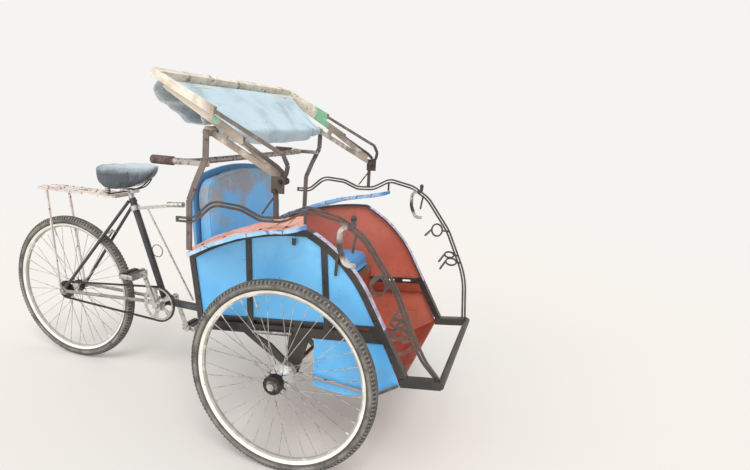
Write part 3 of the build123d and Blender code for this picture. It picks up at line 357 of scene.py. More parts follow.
def side_sheet(name):
    """Painted sheet steel, sky blue outside, brick red inside: dented, chalky, dusty below."""
    tree, place = begin(name)
    spot, facing = outlook(place)
    outward = node(tree, "Math", {0: facing["Y"], 1: spot["Y"]}, operation="MULTIPLY")
    outside = node(tree, "Math", {0: outward, 1: 0.05}, operation="GREATER_THAN")
    blue = coats(
        tree, "#8AD4FE",
        ("#66BEF8", node(tree, "MapRange", {0: spot["Z"], 1: 0.82, 2: 0.52})),
        ("#52AEEE", patches(place, 240, 0.42, 0.75, share=0.7)),
        ("#9CCBE4", patches(place, 40, 0.55, 0.8, 4, (1, 1, 0.12), 2.0, 0.4)),
    )
    red = coats(
        tree, "#D97A64",
        ("#C56652", patches(place, 200, 0.35, 0.7, seed=4)),
        ("#A8675A", patches(place, 50, 0.56, 0.72, 6, seed=5, share=0.6)),
    )
    chips = patches(place, 26, 0.70, 0.74, 9, seed=6)
    scratch = patches(place, 14, 0.68, 0.72, 3, (0.25, 1, 1.6), 9.0, 0.5)
    bare = knocked_off(tree, patches(place, 12, 0.5, 0.62, 6, seed=8), chips, scratch)
    splashed = node(tree, "MapRange", {0: spot["Z"], 1: 0.60, 2: 0.28, 4: 0.45})
    dirt = patches(place, 70, 0.35, 0.8, seed=1, share=splashed)
    tone = coats(tree, red, (blue, outside), ("#8A8276", dirt), ("#5B4A40", bare))
    dull = node(tree, "MapRange", {0: bare, 3: 0.34, 4: 0.7})
    dents = patches(place, 180, 0.2, 0.8, 2)
    chipped = node(tree, "Math", {0: bare, 1: 0.12}, operation="MULTIPLY")
    height = node(tree, "Math", {0: dents, 1: chipped}, operation="SUBTRACT")
    surfaced(tree, tone, dull, height, depth_mm=2.5, strength=0.5)


def arm_board(name):
    """Painted board: faded salmon top worn pale, sky blue along its edge, cracked across."""
    tree, place = begin(name)
    spot, facing = outlook(place)
    top = node(tree, "MapRange", {0: facing["Z"], 1: 0.55, 2: 0.7})
    grain = patches(place, 30, 0.3, 0.7, 6, stretch=(0.12, 1.2, 1))
    worn_pale = patches(place, 90, 0.46, 0.66, 6, seed=3, share=0.8)
    salmon = coats(tree, "#F2AE98", ("#DF8E76", grain), ("#F6DACB", worn_pale))
    blue = coats(
        tree, "#8FC4F0",
        ("#C3D3EA", patches(place, 40, 0.45, 0.7)),
        ("#4A83BB", within(tree, (spot["X"], 0.655, 1.0, 0.01))),
    )
    cracks = node(tree, "Mapping", {"Vector": place, "Scale": (1.0, 0.25, 1.0)})
    values = {"Vector": cracks, "Scale": 1 / (105 * MM)}
    cracks = node(tree, "TexVoronoi", values, feature="DISTANCE_TO_EDGE")
    cracks = node(tree, "MapRange", {0: cracks, 1: 0.022, 2: 0.008})
    cracks = patches(place, 60, 0.40, 0.5, seed=12, share=cracks)
    chips = patches(place, 16, 0.66, 0.70, 8, seed=8)
    broken = patches(place, 10, 0.46, 0.6, 6, seed=5)
    bare = knocked_off(tree, broken, chips, cracks, radius_mm=2.5)
    height = node(tree, "Math", {0: grain, 1: bare}, operation="SUBTRACT")
    tone = coats(tree, blue, (salmon, top), ("#66564E", bare))
    surfaced(tree, tone, 0.5, height, depth_mm=0.6, strength=0.5)


def painted_plank(name, paint, second, wood, wear, wrap=None):
    """Planed board, scuffed to grey wood along its grain; a wrap covers all but its back."""
    tree, place = begin(name)
    grain = patches(place, 26, 0.3, 0.7, 7, stretch=(1.2, 0.12, 1))
    scuffs = patches(place, 80, wear, wear + 0.12, 8.0, seed=2, share=0.7)
    tone = coats(tree, paint, (second, grain), (wood, scuffs))
    if wrap:
        forward = node(tree, "SeparateXYZ", {0: node(tree, "NewGeometry", out="Normal")}, "X")
        tone = coats(tree, tone, (wrap, within(tree, (forward, -0.5, OPEN, 0.05))))
    surfaced(tree, tone, 0.6, grain, depth_mm=0.4, strength=0.5)


def bow_finish(name, cream_below, wood_below, cream="#E6DFD0"):
    """Hood bow: rusty flat steel by its pivot, then hardwood whose cream paint wears off."""
    tree, place = begin(name)
    spot = node(tree, "SeparateXYZ", {0: place}).node.outputs
    grain = patches(place, 16, 0.3, 0.7, 8, stretch=(0.12, 0.6, 0.3))
    bleached = patches(place, 60, 0.5, 0.66, 6, seed=4)
    bared = coats(tree, "#AC9D8E", ("#83756A", grain), ("#CBBFB0", bleached))
    paint = coats(tree, cream, ("#CFC3B0", patches(place, 45, 0.42, 0.68, 6, seed=6)))
    beyond = within(tree, (spot["X"], -OPEN, cream_below, 0.02))
    kept = patches(place, 35, 0.62, 0.56, 8, seed=9, share=beyond)
    # Green paint where the cream ends: all round on the left leg, in dabs elsewhere
    band = within(tree, (spot["X"], cream_below - 0.03, cream_below + 0.035, 0.01))
    dabs = patches(place, 60, 0.60, 0.63, 4, seed=11, share=band)
    left_leg = node(tree, "MapRange", {0: spot["Y"], 1: 0.34, 2: 0.38, 4: band})
    green = node(tree, "Math", {0: dabs, 1: left_leg}, operation="MAXIMUM")
    strip = coats(tree, bared, (paint, kept), ("#86B593", green))
    steel = coats(
        tree, "#665C57",
        ("#857468", patches(place, 14, 0.45, 0.65, 7)),
        ("#443C38", within(tree, (spot["Z"], 0.0, 1.12, 0.02))),
    )
    tone = coats(tree, steel, (strip, within(tree, (spot["X"], -OPEN, wood_below))))
    surfaced(tree, tone, 0.65, grain, depth_mm=0.5, strength=0.6)


def wheel_finish(name, axle_x, wheel_y):
    """Cream-painted rim, dull zinc spokes, bright drum and a greasy cup, told apart by place."""
    tree, place = begin(name)
    radius = from_axle(place, axle_x)
    across = node(tree, "SeparateXYZ", {0: place}, "Y")
    across = node(tree, "Math", {0: across, 1: wheel_y * MM}, operation="SUBTRACT")
    side = copysign(1.0, wheel_y)
    outward = node(tree, "Math", {0: across, 1: side}, operation="MULTIPLY")
    rim = within(tree, (radius, 0.3005, OPEN, 0.0003))
    hub = within(tree, (radius, -OPEN, 0.045, 0.0003))
    # Painted shade: the rim's inner edge is coated grey where the rim lies in shade
    painted_shade_rim_edge = within(tree, (radius, 0.29, 0.3085, 0.001))
    cream = coats(
        tree, "#F3EFE6",
        ("#E0D9CA", patches(place, 50, 0.4, 0.72)),
        ("#8A6A50", patches(place, 12, 0.64, 0.70, 8, seed=3)),
        ("#A8A29A", patches(place, 80, 0.25, 0.5, 5, seed=6, share=painted_shade_rim_edge)),
    )
    spoke = coats(tree, "#CBC8C2", ("#A0988F", patches(place, 20, 0.4, 0.66, 6)))
    drum = coats(tree, "#E9E8E5", ("#B4B0AA", patches(place, 16, 0.5, 0.72, 6)))
    cup = coats(
        tree, "#4B4440",
        ("#8F8A84", within(tree, (radius, 0.006, 0.020, 0.002))),
        ("#2E2925", patches(place, 9, 0.5, 0.62, 7)),
    )
    centre = coats(tree, drum, (cup, within(tree, (outward, 0.010, OPEN))))
    metal = node(tree, "MapRange", {0: rim, 3: 0.85, 4: 0.0})
    pits = patches(place, 5, 0.3, 0.7)
    tone = coats(tree, spoke, (cream, rim), (centre, hub))
    surfaced(tree, tone, 0.42, pits, depth_mm=0.15, strength=0.3, metal=metal)


def tyre_rubber(name, axle_x):
    """Moulded rubber: tread grey with road dust, sidewall darker with a pale scuffed band."""
    tree, place = begin(name)
    radius = from_axle(place, axle_x)
    scuffed_band = within(tree, (radius, 0.329, 0.338, 0.002))
    fine = patches(place, 6, 0.35, 0.7, 5, seed=2, share=0.4)
    tone = coats(
        tree, "#4A4846",
        ("#706C66", patches(place, 60, 0.35, 0.68, 7)),
        ("#8E8A82", patches(place, 60, 0.35, 0.68, 7, share=scuffed_band)),
        ("#3A3836", within(tree, (radius, 0.30, 0.325, 0.003))),
        ("#3A3836", within(tree, (radius, 0.3425, 0.3515, 0.001))),
        ("#837D73", fine),
    )
    surfaced(tree, tone, 0.82, fine, depth_mm=0.3, strength=0.5)


def moulded_rubber(name, tone, dusty):
    """Moulded rubber: matt, with dust in its low places."""
    tree, place = begin(name)
    tone = coats(tree, tone, (dusty, patches(place, 20, 0.4, 0.7, 6)))
    surfaced(tree, tone, 0.7, patches(place, 3, 0.3, 0.7), depth_mm=0.2, strength=0.4)


def vinyl(name, tone, worn_and_sheen, bare, paler_from, paler_to, roughness, mottle=1.0):
    """Embossed vinyl: soft gloss on pebble grain, creased; paler higher up, rubbed off in patches,
    and with little mottle a painted highlight.
    """
    tree, place = begin(name)
    level = node(tree, "SeparateXYZ", {0: place}, "Z")
    high = node(tree, "MapRange", {0: level, 1: paler_from, 2: paler_to})
    cloud = patches(place, 110, 0.3, 0.7, 7, seed=2, share=mottle)
    cloud = node(tree, "Math", {0: cloud, 1: high})
    limits = {0: cloud, 1: 0.2 + mottle * 0.5, 2: 0.8 + mottle * 0.6}
    rubbed_and_sheen = node(tree, "MapRange", limits, interpolation_type="SMOOTHSTEP")
    through = patches(place, 35, 0.60, 0.68, 8, seed=6, share=mottle * 0.6)
    dull = node(tree, "MapRange", {0: rubbed_and_sheen, 3: roughness, 4: roughness + 0.25})
    # The pebbles are 0.6 mm across; drawn at 1.6 mm so that they show
    pebbles = node(tree, "TexVoronoi", {"Vector": place, "Scale": 1 / (1.6 * MM)})
    pebbles = node(tree, "Math", {0: pebbles, 1: 0.25}, operation="MULTIPLY")
    creases = patches(place, 45, 0.35, 0.65, 3, seed=4)
    height = node(tree, "Math", {0: pebbles, 1: creases})
    tone = coats(tree, tone, (worn_and_sheen, rubbed_and_sheen), (bare, through))
    surfaced(tree, tone, dull, height, depth_mm=1.2, strength=0.5)


def tarpaulin(name, tone, soiled, dark, soil_from):
    """Coated woven sheet, slightly shiny, soiled along its folds; threads follow its length."""
    tree, place = begin(name)
    soil = patches(place, 120, soil_from, soil_from + 0.28, 7.0)
    specks = patches(place, 24, 0.62, 0.7, 8, seed=3, share=0.8)
    # Threads lie 1.5 mm apart; drawn 4 mm by 2 mm so that they show
    flat = node(tree, "UVMap", uv_map="UVMap")
    values = {"Vector": flat, "Scale": 1 / (8 * MM), "Mortar Size": 0.08}
    weave = node(tree, "TexBrick", values, "Fac")
    weave = node(tree, "Math", {0: weave, 1: -0.08}, operation="MULTIPLY")
    creases = patches(place, 40, 0.3, 0.7, 4, seed=7)
    height = node(tree, "Math", {0: weave, 1: creases})
    tone = coats(tree, tone, (soiled, soil), (dark, specks))
    surfaced(tree, tone, 0.5, height, depth_mm=1.4, strength=0.5)


enamelled_steel("black_enamel", "#302D2B", "#45403C")
enamelled_steel("grey_brown_enamel", "#665C56", "#7D726A", rust="#57433A", amount=0.03, gloss=0.6)
enamelled_steel("dark_plate_enamel", "#463E39", "#5A504A", rust="#5C4436", amount=0.04, gloss=0.6)
enamelled_steel("grey_tube_enamel", "#827B75", "#A09891", rust="#5A483D", amount=0.02, gloss=0.4)
enamelled_steel("dark_tube_enamel", "#35353A", "#4B4A4B")
enamelled_steel("cream_rod_enamel", "#E3DAD3", "#C9BCB6", rust="#7C6256", amount=0.03, gloss=0.5)
body_angle_paint("body_angle_enamel")
chassis_paint("chassis_enamel")
hanger_paint("hanger_enamel")
railing_paint("railing_enamel")
dull_metal("bare_steel", "#C9C7C3", "#8B857E", 0.34)
dull_metal("aged_steel", "#B3ABA4", "#6F665F", 0.42)
dull_metal("plated_steel", "#D9D8D5", "#A9A6A2", 0.28)
dull_metal("oily_steel", "#57514B", "#2E2925", 0.45, 8)
side_sheet("blue_sheet_steel")
arm_board("salmon_board")
painted_plank("red_plank", "#A64C3A", "#8E3F31", "#8C7A6A", 0.5)
painted_plank("sawn_plank", "#7E6A57", "#5B493B", "#9A8A78", 0.56)
painted_plank("wrapped_plank", "#7E6A57", "#5B493B", "#9A8A78", 0.56, wrap="#5C9BCB")
bow_finish("front_bow_strip", 0.325, 0.354)
bow_finish("middle_bow_strip", 0.330, 0.450, "#D3C7B5")
bow_finish("rear_bow_strip", 0.300, 0.575, "#C9BDAB")
for pattern, x, y, _ in WHEELS:
    wheel_finish(pattern.format("wheel") + "_finish", x, y)
tyre_rubber("front_tyre_rubber", 0.0)
tyre_rubber("rear_tyre_rubber", -WHEELBASE)
moulded_rubber("dusty_lug_rubber", "#6E6A65", "#99948C")
moulded_rubber("black_rubber", "#2F2D2B", "#55504A")
moulded_rubber("brown_rubber", "#4A3A33", "#7A675E")
vinyl("blue_vinyl", "#74C0F4", "#A2A6AE", "#C2BDB6", 0.82, 1.04, 0.42)
vinyl("blue_seat_vinyl", "#4F97D2", "#7F95A6", "#9AA0A2", 0.62, 1.4, 0.42)
# The saddle's paler top, with little mottle, is a painted highlight
vinyl("saddle_vinyl", "#4B535B", "#B4C0C8", "#8D979E", 0.925, 1.01, 0.30, mottle=0.2)
tarpaulin("pale_tarpaulin", "#BDD3DC", "#9FB4BD", "#848E93", 0.46)
# The bundle's cloth has a lighter tone than the hood skin's: painted light, standing for sunlight
# on the bundle
tarpaulin("painted_light_tarpaulin", "#E4EAEE", "#C6CED4", "#9AA2A6", 0.50)

# Each finish's nodes; a name that ends in an underscore has a left and a right one
FINISH = {
    "chassis_enamel": "chassis",
    "body_angle_enamel": "side_frame_",
    "black_enamel": "step_bar",
    "hanger_enamel": "axle_hanger_",
    "grey_brown_enamel": "hood_post_",
    "dark_plate_enamel": "hood_pivot_",
    "grey_tube_enamel": "chain_stay_",
    "dark_tube_enamel": "rear_frame seat_stay_",
    "cream_rod_enamel": "rear_carrier",
    "railing_enamel": "railing_",
    "blue_sheet_steel": "side_panel_ footwell_cheek_",
    "salmon_board": "armrest_",
    "red_plank": "footwell_floor footwell_back",
    "sawn_plank": "seat_deck",
    "wrapped_plank": "back_board",
    "aged_steel": "handlebar",
    "bare_steel": "front_axle rear_axle seat_post crank_set brake_lever",
    "oily_steel": "chain rear_sprocket",
    "front_bow_strip": "hood_front_bow",
    "middle_bow_strip": "hood_middle_bow",
    "rear_bow_strip": "hood_rear_bow",
    "front_wheel_left_finish": "front_wheel_left",
    "front_wheel_right_finish": "front_wheel_right",
    "rear_wheel_finish": "rear_wheel",
    "front_tyre_rubber": "front_tyre_",
    "rear_tyre_rubber": "rear_tyre",
    "black_rubber": "pedal_",
    "brown_rubber": "handlebar_grips",
    "blue_vinyl": "back_cushion",
    "blue_seat_vinyl": "seat_cushion",
    "saddle_vinyl": "saddle",
    "pale_tarpaulin": "hood_cloth_rear",
    "painted_light_tarpaulin": "hood_cloth_front",
}
for finish, names in FINISH.items():
    for name in names.split():
        for side in ("left", "right") if name.endswith("_") else ("",):
            mesh = NODES[name + side].data
            mesh.materials.clear()
            mesh.materials.append(MATERIALS[finish])

# Pieces: what they are made with

SAME_POINT = 1e-6
WIRE_STEPS = 6
BAR_EASED = 0.2


def piece_from(mesh, name, finish, body, replaced=(), sharp=35):
    """A mesh as a piece, with the body it rides on and the nodes it stands for."""
    mesh.name = name
    mesh.materials.append(MATERIALS[finish])
    mesh.shade_smooth()
    mesh.set_sharp_from_angle(angle=radians(sharp))
    piece = placed(name, mesh)
    if body:
        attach(piece, body)
    if replaced:
        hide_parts(*replaced)
    return piece


def opened(*meshes):
    """One bmesh of several meshes."""
    made = bmesh.new()
    for mesh in meshes:
        made.from_mesh(mesh)
    return made


def closed_mesh(made):
    """A bmesh as a mesh with its faces turned outwards."""
    bmesh.ops.recalc_face_normals(made, faces=made.faces)
    return as_mesh(made)


def baked(piece):
    """The piece's mesh with its modifiers applied; the piece itself goes."""
    seen = piece.evaluated_get(bpy.context.evaluated_depsgraph_get())
    mesh = bpy.data.meshes.new_from_object(seen)
    bpy.data.objects.remove(piece)
    return mesh


def wire(points, radius_mm, closed=False, sides=3):
    """A round wire along a smooth line through the points, as a mesh."""
    line = bpy.data.curves.new("line", "CURVE")
    line.dimensions = "3D"
    line.bevel_depth = radius_mm * MM
    line.bevel_resolution = sides
    line.use_fill_caps = True
    spline = line.splines.new("NURBS")
    spline.points.add(len(points) - 1)
    for place, point in zip(spline.points, points):
        place.co = (*point, 1.0)
    spline.use_cyclic_u = closed
    spline.order_u = 3
    spline.use_endpoint_u = not closed
    spline.resolution_u = WIRE_STEPS
    return baked(placed("line", line))


def turned(made, section, centre, axis, steps):
    """Spins a closed section: distances from the axis, and places along it."""
    axis = Vector(axis)
    out = Vector((0, 0, 1))
    verts = [made.verts.new(centre + out * r * MM + axis * w * MM) for r, w in section]
    edges = [made.edges.new((verts[i - 1], verts[i])) for i in range(len(verts))]
    bmesh.ops.spin(
        made, geom=verts + edges, cent=centre, axis=axis, angle=2 * pi, steps=steps,
        use_merge=True,
    )
    bmesh.ops.remove_doubles(made, verts=made.verts, dist=SAME_POINT)


def eased(made, edges, width):
    """Rounds edges over."""
    bmesh.ops.bevel(
        made, geom=list(edges), offset=width, affect="EDGES", segments=2, profile=0.5, material=-1,
    )


def peg(made, middle, toward, long_mm, foot_mm, tip_mm, sides):
    """A peg about a middle: its radius at its foot and at its tip."""
    turn = toward.to_track_quat("Z", "Y").to_matrix().to_4x4()
    bmesh.ops.create_cone(
        made, cap_ends=True, segments=sides, radius1=foot_mm * MM, radius2=tip_mm * MM,
        depth=long_mm * MM, matrix=Matrix.Translation(middle) @ turn,
    )


def bar(made, start_at, end_at, deep_mm, thick_mm, up=(0, 0, 1)):
    """A flat bar with eased edges from one point to another, deep along up."""
    along = end_at - start_at
    across = Vector(up).cross(along).normalized()
    deep = along.normalized().cross(across)
    turn = Matrix((along.normalized(), across, deep)).transposed().to_4x4()
    size = Matrix.Diagonal((along.length, thick_mm * MM, deep_mm * MM, 1.0))
    place = Matrix.Translation((start_at + end_at) / 2)
    cube = bmesh.ops.create_cube(made, size=1.0, matrix=place @ turn @ size)
    edges = {edge for vert in cube["verts"] for edge in vert.link_edges}
    eased(made, edges, min(deep_mm, thick_mm) * BAR_EASED * MM)


# Tyres: a rounded casing, two centre ribs and rows of shoulder lugs
TYRE_SECTION = (
    (319.0, 11.6), (326.0, 16.2), (335.0, 18.6), (341.5, 17.8), (347.0, 14.4), (351.0, 9.6),
    (352.4, 7.2), (354.9, 6.8), (354.9, 3.6), (353.0, 3.2), (353.0, 1.4), (354.8, 1.0),
)
TREAD_STEPS = 280
LUG_INNER_R, LUG_OUTER_R, LUG_FROM_MIDDLE = 341.0, 351.5, 8.0
LUG_MM, LUG_TAPER = 2.3, 0.9


def make_tyre(pattern, x, y, body):
    """One tyre; every second face of its shoulders is raised as a lug."""
    made = bmesh.new()
    centre = at(x, y, WHEEL_R)
    section = list(TYRE_SECTION) + [(r, -w) for r, w in reversed(TYRE_SECTION)]
    turned(made, section, centre, (0, 1, 0), TREAD_STEPS)
    bmesh.ops.recalc_face_normals(made, faces=made.faces)
    lugs = []
    for face in made.faces:
        middle = (face.calc_center_median() - centre) / MM
        step = atan2(middle.z, middle.x) / (2 * pi) * TREAD_STEPS
        on_shoulder = LUG_INNER_R < hypot(middle.x, middle.z) < LUG_OUTER_R
        if on_shoulder and abs(middle.y) > LUG_FROM_MIDDLE and round(step - 0.5) % 2 == 0:
            lugs.append(face)
    for face in bmesh.ops.extrude_discrete_faces(made, faces=lugs)["faces"]:
        middle = face.calc_center_median()
        lift = face.normal * LUG_MM * MM
        for vert in face.verts:
            vert.co = middle + (vert.co - middle) * LUG_TAPER + lift
        face.material_index = 1
    finish = "rear_tyre_rubber" if x else "front_tyre_rubber"
    name = pattern.format("tyre")
    tyre = piece_from(closed_mesh(made), name + "_tread", finish, body, (name,))
    tyre.data.materials.append(MATERIALS["dusty_lug_rubber"])


# Nipples on the CAD spokes' own places, and the valve
SPOKES = 18
RIM_IN, RIM_OFFSET = 302.0, 2.0
SPOKE_ROOT, SPOKE_LEAN, SPOKE_SHIFT = 22.0, 62.0, 1.15
FLANGE_OUT = 28.6
NIPPLE_LONG, NIPPLE_RADII = 13.0, (2.4, 1.7)
VALVE_TURN = 1.92
VALVE_PARTS = ((268.0, 300.0, 3.0), (262.0, 270.0, 4.0))


def make_nipples(pattern, x, y, body):
    """A cone on each spoke's outer end, and a stem with its cap."""
    made = bmesh.new()
    centre = at(x, y, WHEEL_R)
    for flange in (-1, 1):
        for number in range(SPOKES):
            side = 1 if number % 2 else -1
            tip_turn = 2 * pi / SPOKES * (number + (0.5 if flange > 0 else 0.0))
            root_turn = tip_turn + side * radians(SPOKE_LEAN)
            tip, root = (
                Vector((cos(turn) * r, flange * out + side * SPOKE_SHIFT, sin(turn) * r))
                for turn, r, out in (
                    (tip_turn, RIM_IN, RIM_OFFSET), (root_turn, SPOKE_ROOT, FLANGE_OUT),
                )
            )
            inward = (root - tip).normalized()
            middle = centre + (tip + inward * NIPPLE_LONG / 2) * MM
            peg(made, middle, inward, NIPPLE_LONG, *NIPPLE_RADII, 6)
    stem = Vector((cos(VALVE_TURN), 0.0, sin(VALVE_TURN)))
    for low, high, r in VALVE_PARTS:
        peg(made, centre + stem * (low + high) / 2 * MM, stem, high - low, r, r, 10)
    name = pattern.format("wheel") + "_nipples"
    piece_from(closed_mesh(made), name, "plated_steel", body)


for wheel in WHEELS:
    make_tyre(*wheel)
    make_nipples(*wheel)

# Pads: the CAD solid, drawn in a little, remeshed and blown up as cloth
CLOTH_PRESSURE = 4.0
CLOTH_QUALITY = 4
CLOTH_FRAMES = 20
RESTING_SHARE = 0.15
PIPING_POINTS = 90

TAIL_FROM, TAIL_LONG = AXLE_X - 1.000, 0.100
SADDLE_TOP, SADDLE_DEEP = 0.995, 0.061
TAIL_UP, TAIL_DOWN = 0.050, 0.024
SEAT_CROWN, SEAT_EDGE_DROP = 0.020, 0.008


def saddle_form(place):
    """Draws the saddle's tail up and thin, as its base plate does."""
    tail = min(max((TAIL_FROM - place.x) / TAIL_LONG, 0.0), 1.0)
    low = min(max((SADDLE_TOP - place.z) / SADDLE_DEEP, 0.0), 1.0)
    raised = place.z + low * TAIL_UP * tail ** 1.5
    return Vector((place.x, place.y, raised - (1 - low) * TAIL_DOWN * tail ** 1.6))


def seat_form(place):
    """Crowns the seat across and along, and rounds its front edge down."""
    low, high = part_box("seat_cushion")
    along = (place.x - low[0]) / (high[0] - low[0]) * 2 - 1
    across = (place.y - low[1]) / (high[1] - low[1]) * 2 - 1
    top = max((place.z - (low[2] + high[2]) / 2) / (high[2] - low[2]) * 2, 0.0)
    crown = max(1 - along ** 2, 0.0) * max(1 - across ** 2, 0.0)
    lift = top * (SEAT_CROWN * crown - SEAT_EDGE_DROP * (1 - crown))
    return Vector((place.x, place.y, place.z + lift))


def stuffed(
    source, name, finish, body, slot, fill, pull_mm, cap_mm, voxel_mm, down=(0, 0, -1),
    rounds=4, form=None,
):
    """A crowned pad for a CAD solid; down is the side that it rests on."""
    made = opened(NODES[source].data)
    bmesh.ops.remove_doubles(made, verts=made.verts, dist=SAME_POINT)
    low, high = (Vector(corner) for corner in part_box(source))
    middle, size = (low + high) / 2, high - low
    for vert in made.verts:
        for axis in range(3):
            share = 1 - 2 * pull_mm * MM / size[axis]
            vert.co[axis] = middle[axis] + (vert.co[axis] - middle[axis]) * share
    shell = placed(name, as_mesh(made))
    remesh = shell.modifiers.new("remesh", "REMESH")
    remesh.mode = "VOXEL"
    remesh.voxel_size = voxel_mm * MM
    made = opened(baked(shell))
    if form:
        for vert in made.verts:
            vert.co = form(vert.co)
    for _ in range(rounds):
        bmesh.ops.smooth_vert(
            made, verts=made.verts, factor=0.5, use_axis_x=True, use_axis_y=True, use_axis_z=True,
        )
    mesh = closed_mesh(made)
    rest = [vert.co.copy() for vert in mesh.vertices]
    facing = [vert.normal.copy() for vert in mesh.vertices]
    pad = placed(name, mesh)
    cloth = pad.modifiers.new("cloth", "CLOTH")
    cloth.settings.quality = CLOTH_QUALITY
    cloth.settings.use_pressure = True
    cloth.settings.uniform_pressure_force = CLOTH_PRESSURE
    cloth.settings.effector_weights.gravity = 0.0
    cloth.point_cache.frame_start = 1
    cloth.point_cache.frame_end = CLOTH_FRAMES
    for number in range(1, CLOTH_FRAMES + 1):
        SCENE.frame_set(number)
    mesh = baked(pad)
    SCENE.frame_set(1)
    down = Vector(down)
    for vert, still, normal in zip(mesh.vertices, rest, facing):
        shift = vert.co - still
        limit = cap_mm * MM * (RESTING_SHARE if normal.dot(down) > 0.6 else 1.0)
        if shift.length > limit:
            shift = shift.normalized() * limit
        vert.co = still + shift
    piece = piece_from(mesh, name, finish, body, (source,), sharp=80)
    finer = piece.modifiers.new("finer", "SUBSURF")
    finer.levels = finer.render_levels = 1
    return piece


def piping(name, pad, point, normal, radius_mm, finish, body, slot):
    """A cord sewn round a pad where a plane cuts it."""
    made = opened(pad.data)
    cut = bmesh.ops.bisect_plane(
        made, geom=made.verts[:] + made.edges[:] + made.faces[:], plane_co=point, plane_no=normal,
        dist=1e-7,
    )["geom_cut"]
    loose = dict.fromkeys(item for item in cut if isinstance(item, bmesh.types.BMEdge))
    loops = []
    while loose:
        edge, _ = loose.popitem()
        line, corner = [edge.verts[0].co.copy()], edge.verts[1]
        while edge:
            line.append(corner.co.copy())
            edge = next((near for near in corner.link_edges if near in loose), None)
            if edge:
                loose.pop(edge)
                corner = edge.other_vert(corner)
        loops.append(line)
    made.free()
    longest = max(loops, key=len)
    steps = max(len(longest) // PIPING_POINTS, 1)
    return piece_from(wire(longest[::steps], radius_mm, closed=True), name, finish, body)


BACK_NORMAL = Vector((0.9973, 0.0, 0.0733))
BACK_FOOT = at(-392, 0, 520)
BACK_PIPING = BACK_FOOT + BACK_NORMAL * 0.046
SEAT_NORMAL = (-0.104, 0, 0.9945)
PIPING_R, SEAM_R = 3.2, 1.3
SEAT_MAKE = ("blue_seat_vinyl", "carriage", "blue_vinyl")
BACK_MAKE = ("blue_vinyl", "carriage", "blue_vinyl")
SADDLE_MAKE = ("saddle_vinyl", "rear_end", "saddle_vinyl")

seat_pad = stuffed(
    "seat_cushion", "seat_pad", *SEAT_MAKE, fill=0.7, pull_mm=13, cap_mm=15, voxel_mm=8,
    form=seat_form,
)
back_pad = stuffed(
    "back_cushion", "back_pad", *BACK_MAKE, fill=0.6, pull_mm=11, cap_mm=13, voxel_mm=8,
    down=-BACK_NORMAL,
)
saddle_top = stuffed(
    "saddle", "saddle_top", *SADDLE_MAKE, fill=0.8, pull_mm=4, cap_mm=6, voxel_mm=5,
    rounds=9, form=saddle_form,
)
for name, z in (("seat_piping_high", 640), ("seat_piping_low", 596)):
    piping(name, seat_pad, at(-110, 0, z), SEAT_NORMAL, PIPING_R, *SEAT_MAKE)
piping("back_piping", back_pad, BACK_PIPING, BACK_NORMAL, PIPING_R, *BACK_MAKE)
piping("saddle_seam", saddle_top, at(-960, 0, 951), (-0.10, 0, 0.995), SEAM_R, *SADDLE_MAKE)

# Hood cloth: sheets laid along a line in side view, with folds

PIVOT = at(22, 0, 1042)
LEG_DOWN = Vector((0.8674, 0.0, -0.4976))
LEG_UP = Vector((0.4976, 0.0, 0.8674))
MIDDLE_BAR = at(22 - 418, 0, 1042 + 269)
CLOTH_HALF = 402.0
CLOTH_THICK = 1.4
CLOTH_CELL, CLOTH_COLUMNS = 5, 110
CORNER_CUTS = 3


def from_bar(x, up):
    """A point from the middle cross bar, along its leg and square to it."""
    return MIDDLE_BAR + LEG_DOWN * x * MM + LEG_UP * up * MM


def rounded(line):
    """The line with its corners cut, ends kept."""
    for _ in range(CORNER_CUTS):
        cut = [line[0]]
        for a, b in zip(line, line[1:]):
            cut += [a * 0.75 + b * 0.25, a * 0.25 + b * 0.75]
        line = cut + [line[-1]]
    return line


def laid_sheet(name, line, finish, folds, replaced, drawn_up=0):
    """A sheet across the hood along a line; folds gives its ripple at a place on it."""
    line = rounded(line)
    lengths = [0.0]
    for a, b in zip(line, line[1:]):
        lengths.append(lengths[-1] + (b - a).length)
    total = lengths[-1]
    made = bmesh.new()
    uv = made.loops.layers.uv.new("UVMap")
    rows = int(total / MM / CLOTH_CELL)
    bmesh.ops.create_grid(made, x_segments=rows, y_segments=CLOTH_COLUMNS, size=0.5)
    shares = {}
    for vert in made.verts:
        along, across = vert.co.x + 0.5, vert.co.y + 0.5
        run = along * (total - drawn_up * MM * abs(across * 2 - 1) ** 3)
        step = next(i for i in range(1, len(lengths)) if run <= lengths[i] + 1e-9)
        a, b = line[step - 1], line[step]
        point = a + (b - a) * (run - lengths[step - 1]) / (lengths[step] - lengths[step - 1])
        out = (b - a).normalized().cross(Vector((0, 1, 0)))
        lift, spread = folds(along, across)
        sideways = Vector((0, (across * 2 - 1) * (CLOTH_HALF - spread) * MM, 0))
        vert.co = point + out * lift * MM + sideways
        shares[vert] = (across * 2 * CLOTH_HALF * MM, run)
    for face in made.faces:
        for loop in face.loops:
            loop[uv].uv = shares[loop.vert]
    sheet = placed(name, as_mesh(made))
    thick = sheet.modifiers.new("thickness", "SOLIDIFY")
    thick.thickness = CLOTH_THICK * MM
    thick.offset = 1.0
    sheet = piece_from(baked(sheet), name, finish, None, replaced, sharp=70)
    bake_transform(sheet)


# The folds: a height in mm, then how fast it runs along and across the sheet


def skin_folds(along, across):
    """Slack between the bars, a crease near the left edge and a wavy hem."""
    slack = -7.0 * sin(pi * min(along / 0.8, 1.0)) * (0.6 + 0.4 * sin(across * 9.0))
    near_hem = exp(-(((along - 0.62) / 0.2) ** 2))
    fan = 3.6 * sin(across * 26 + along * 5) * along ** 1.2
    fan += 3.0 * sin(across * 41 - along * 15) * near_hem
    crease = -13.0 * exp(-(((across - 0.91) / 0.016) ** 2)) * min(along * 1.6, 1.0)
    hem = 3.0 * sin(across * 17 + 1.0) * max(along - 0.72, 0.0) * 3
    return slack * (1.0 if 0.08 < along < 0.78 else 0.3) + fan + crease + hem, 0.0


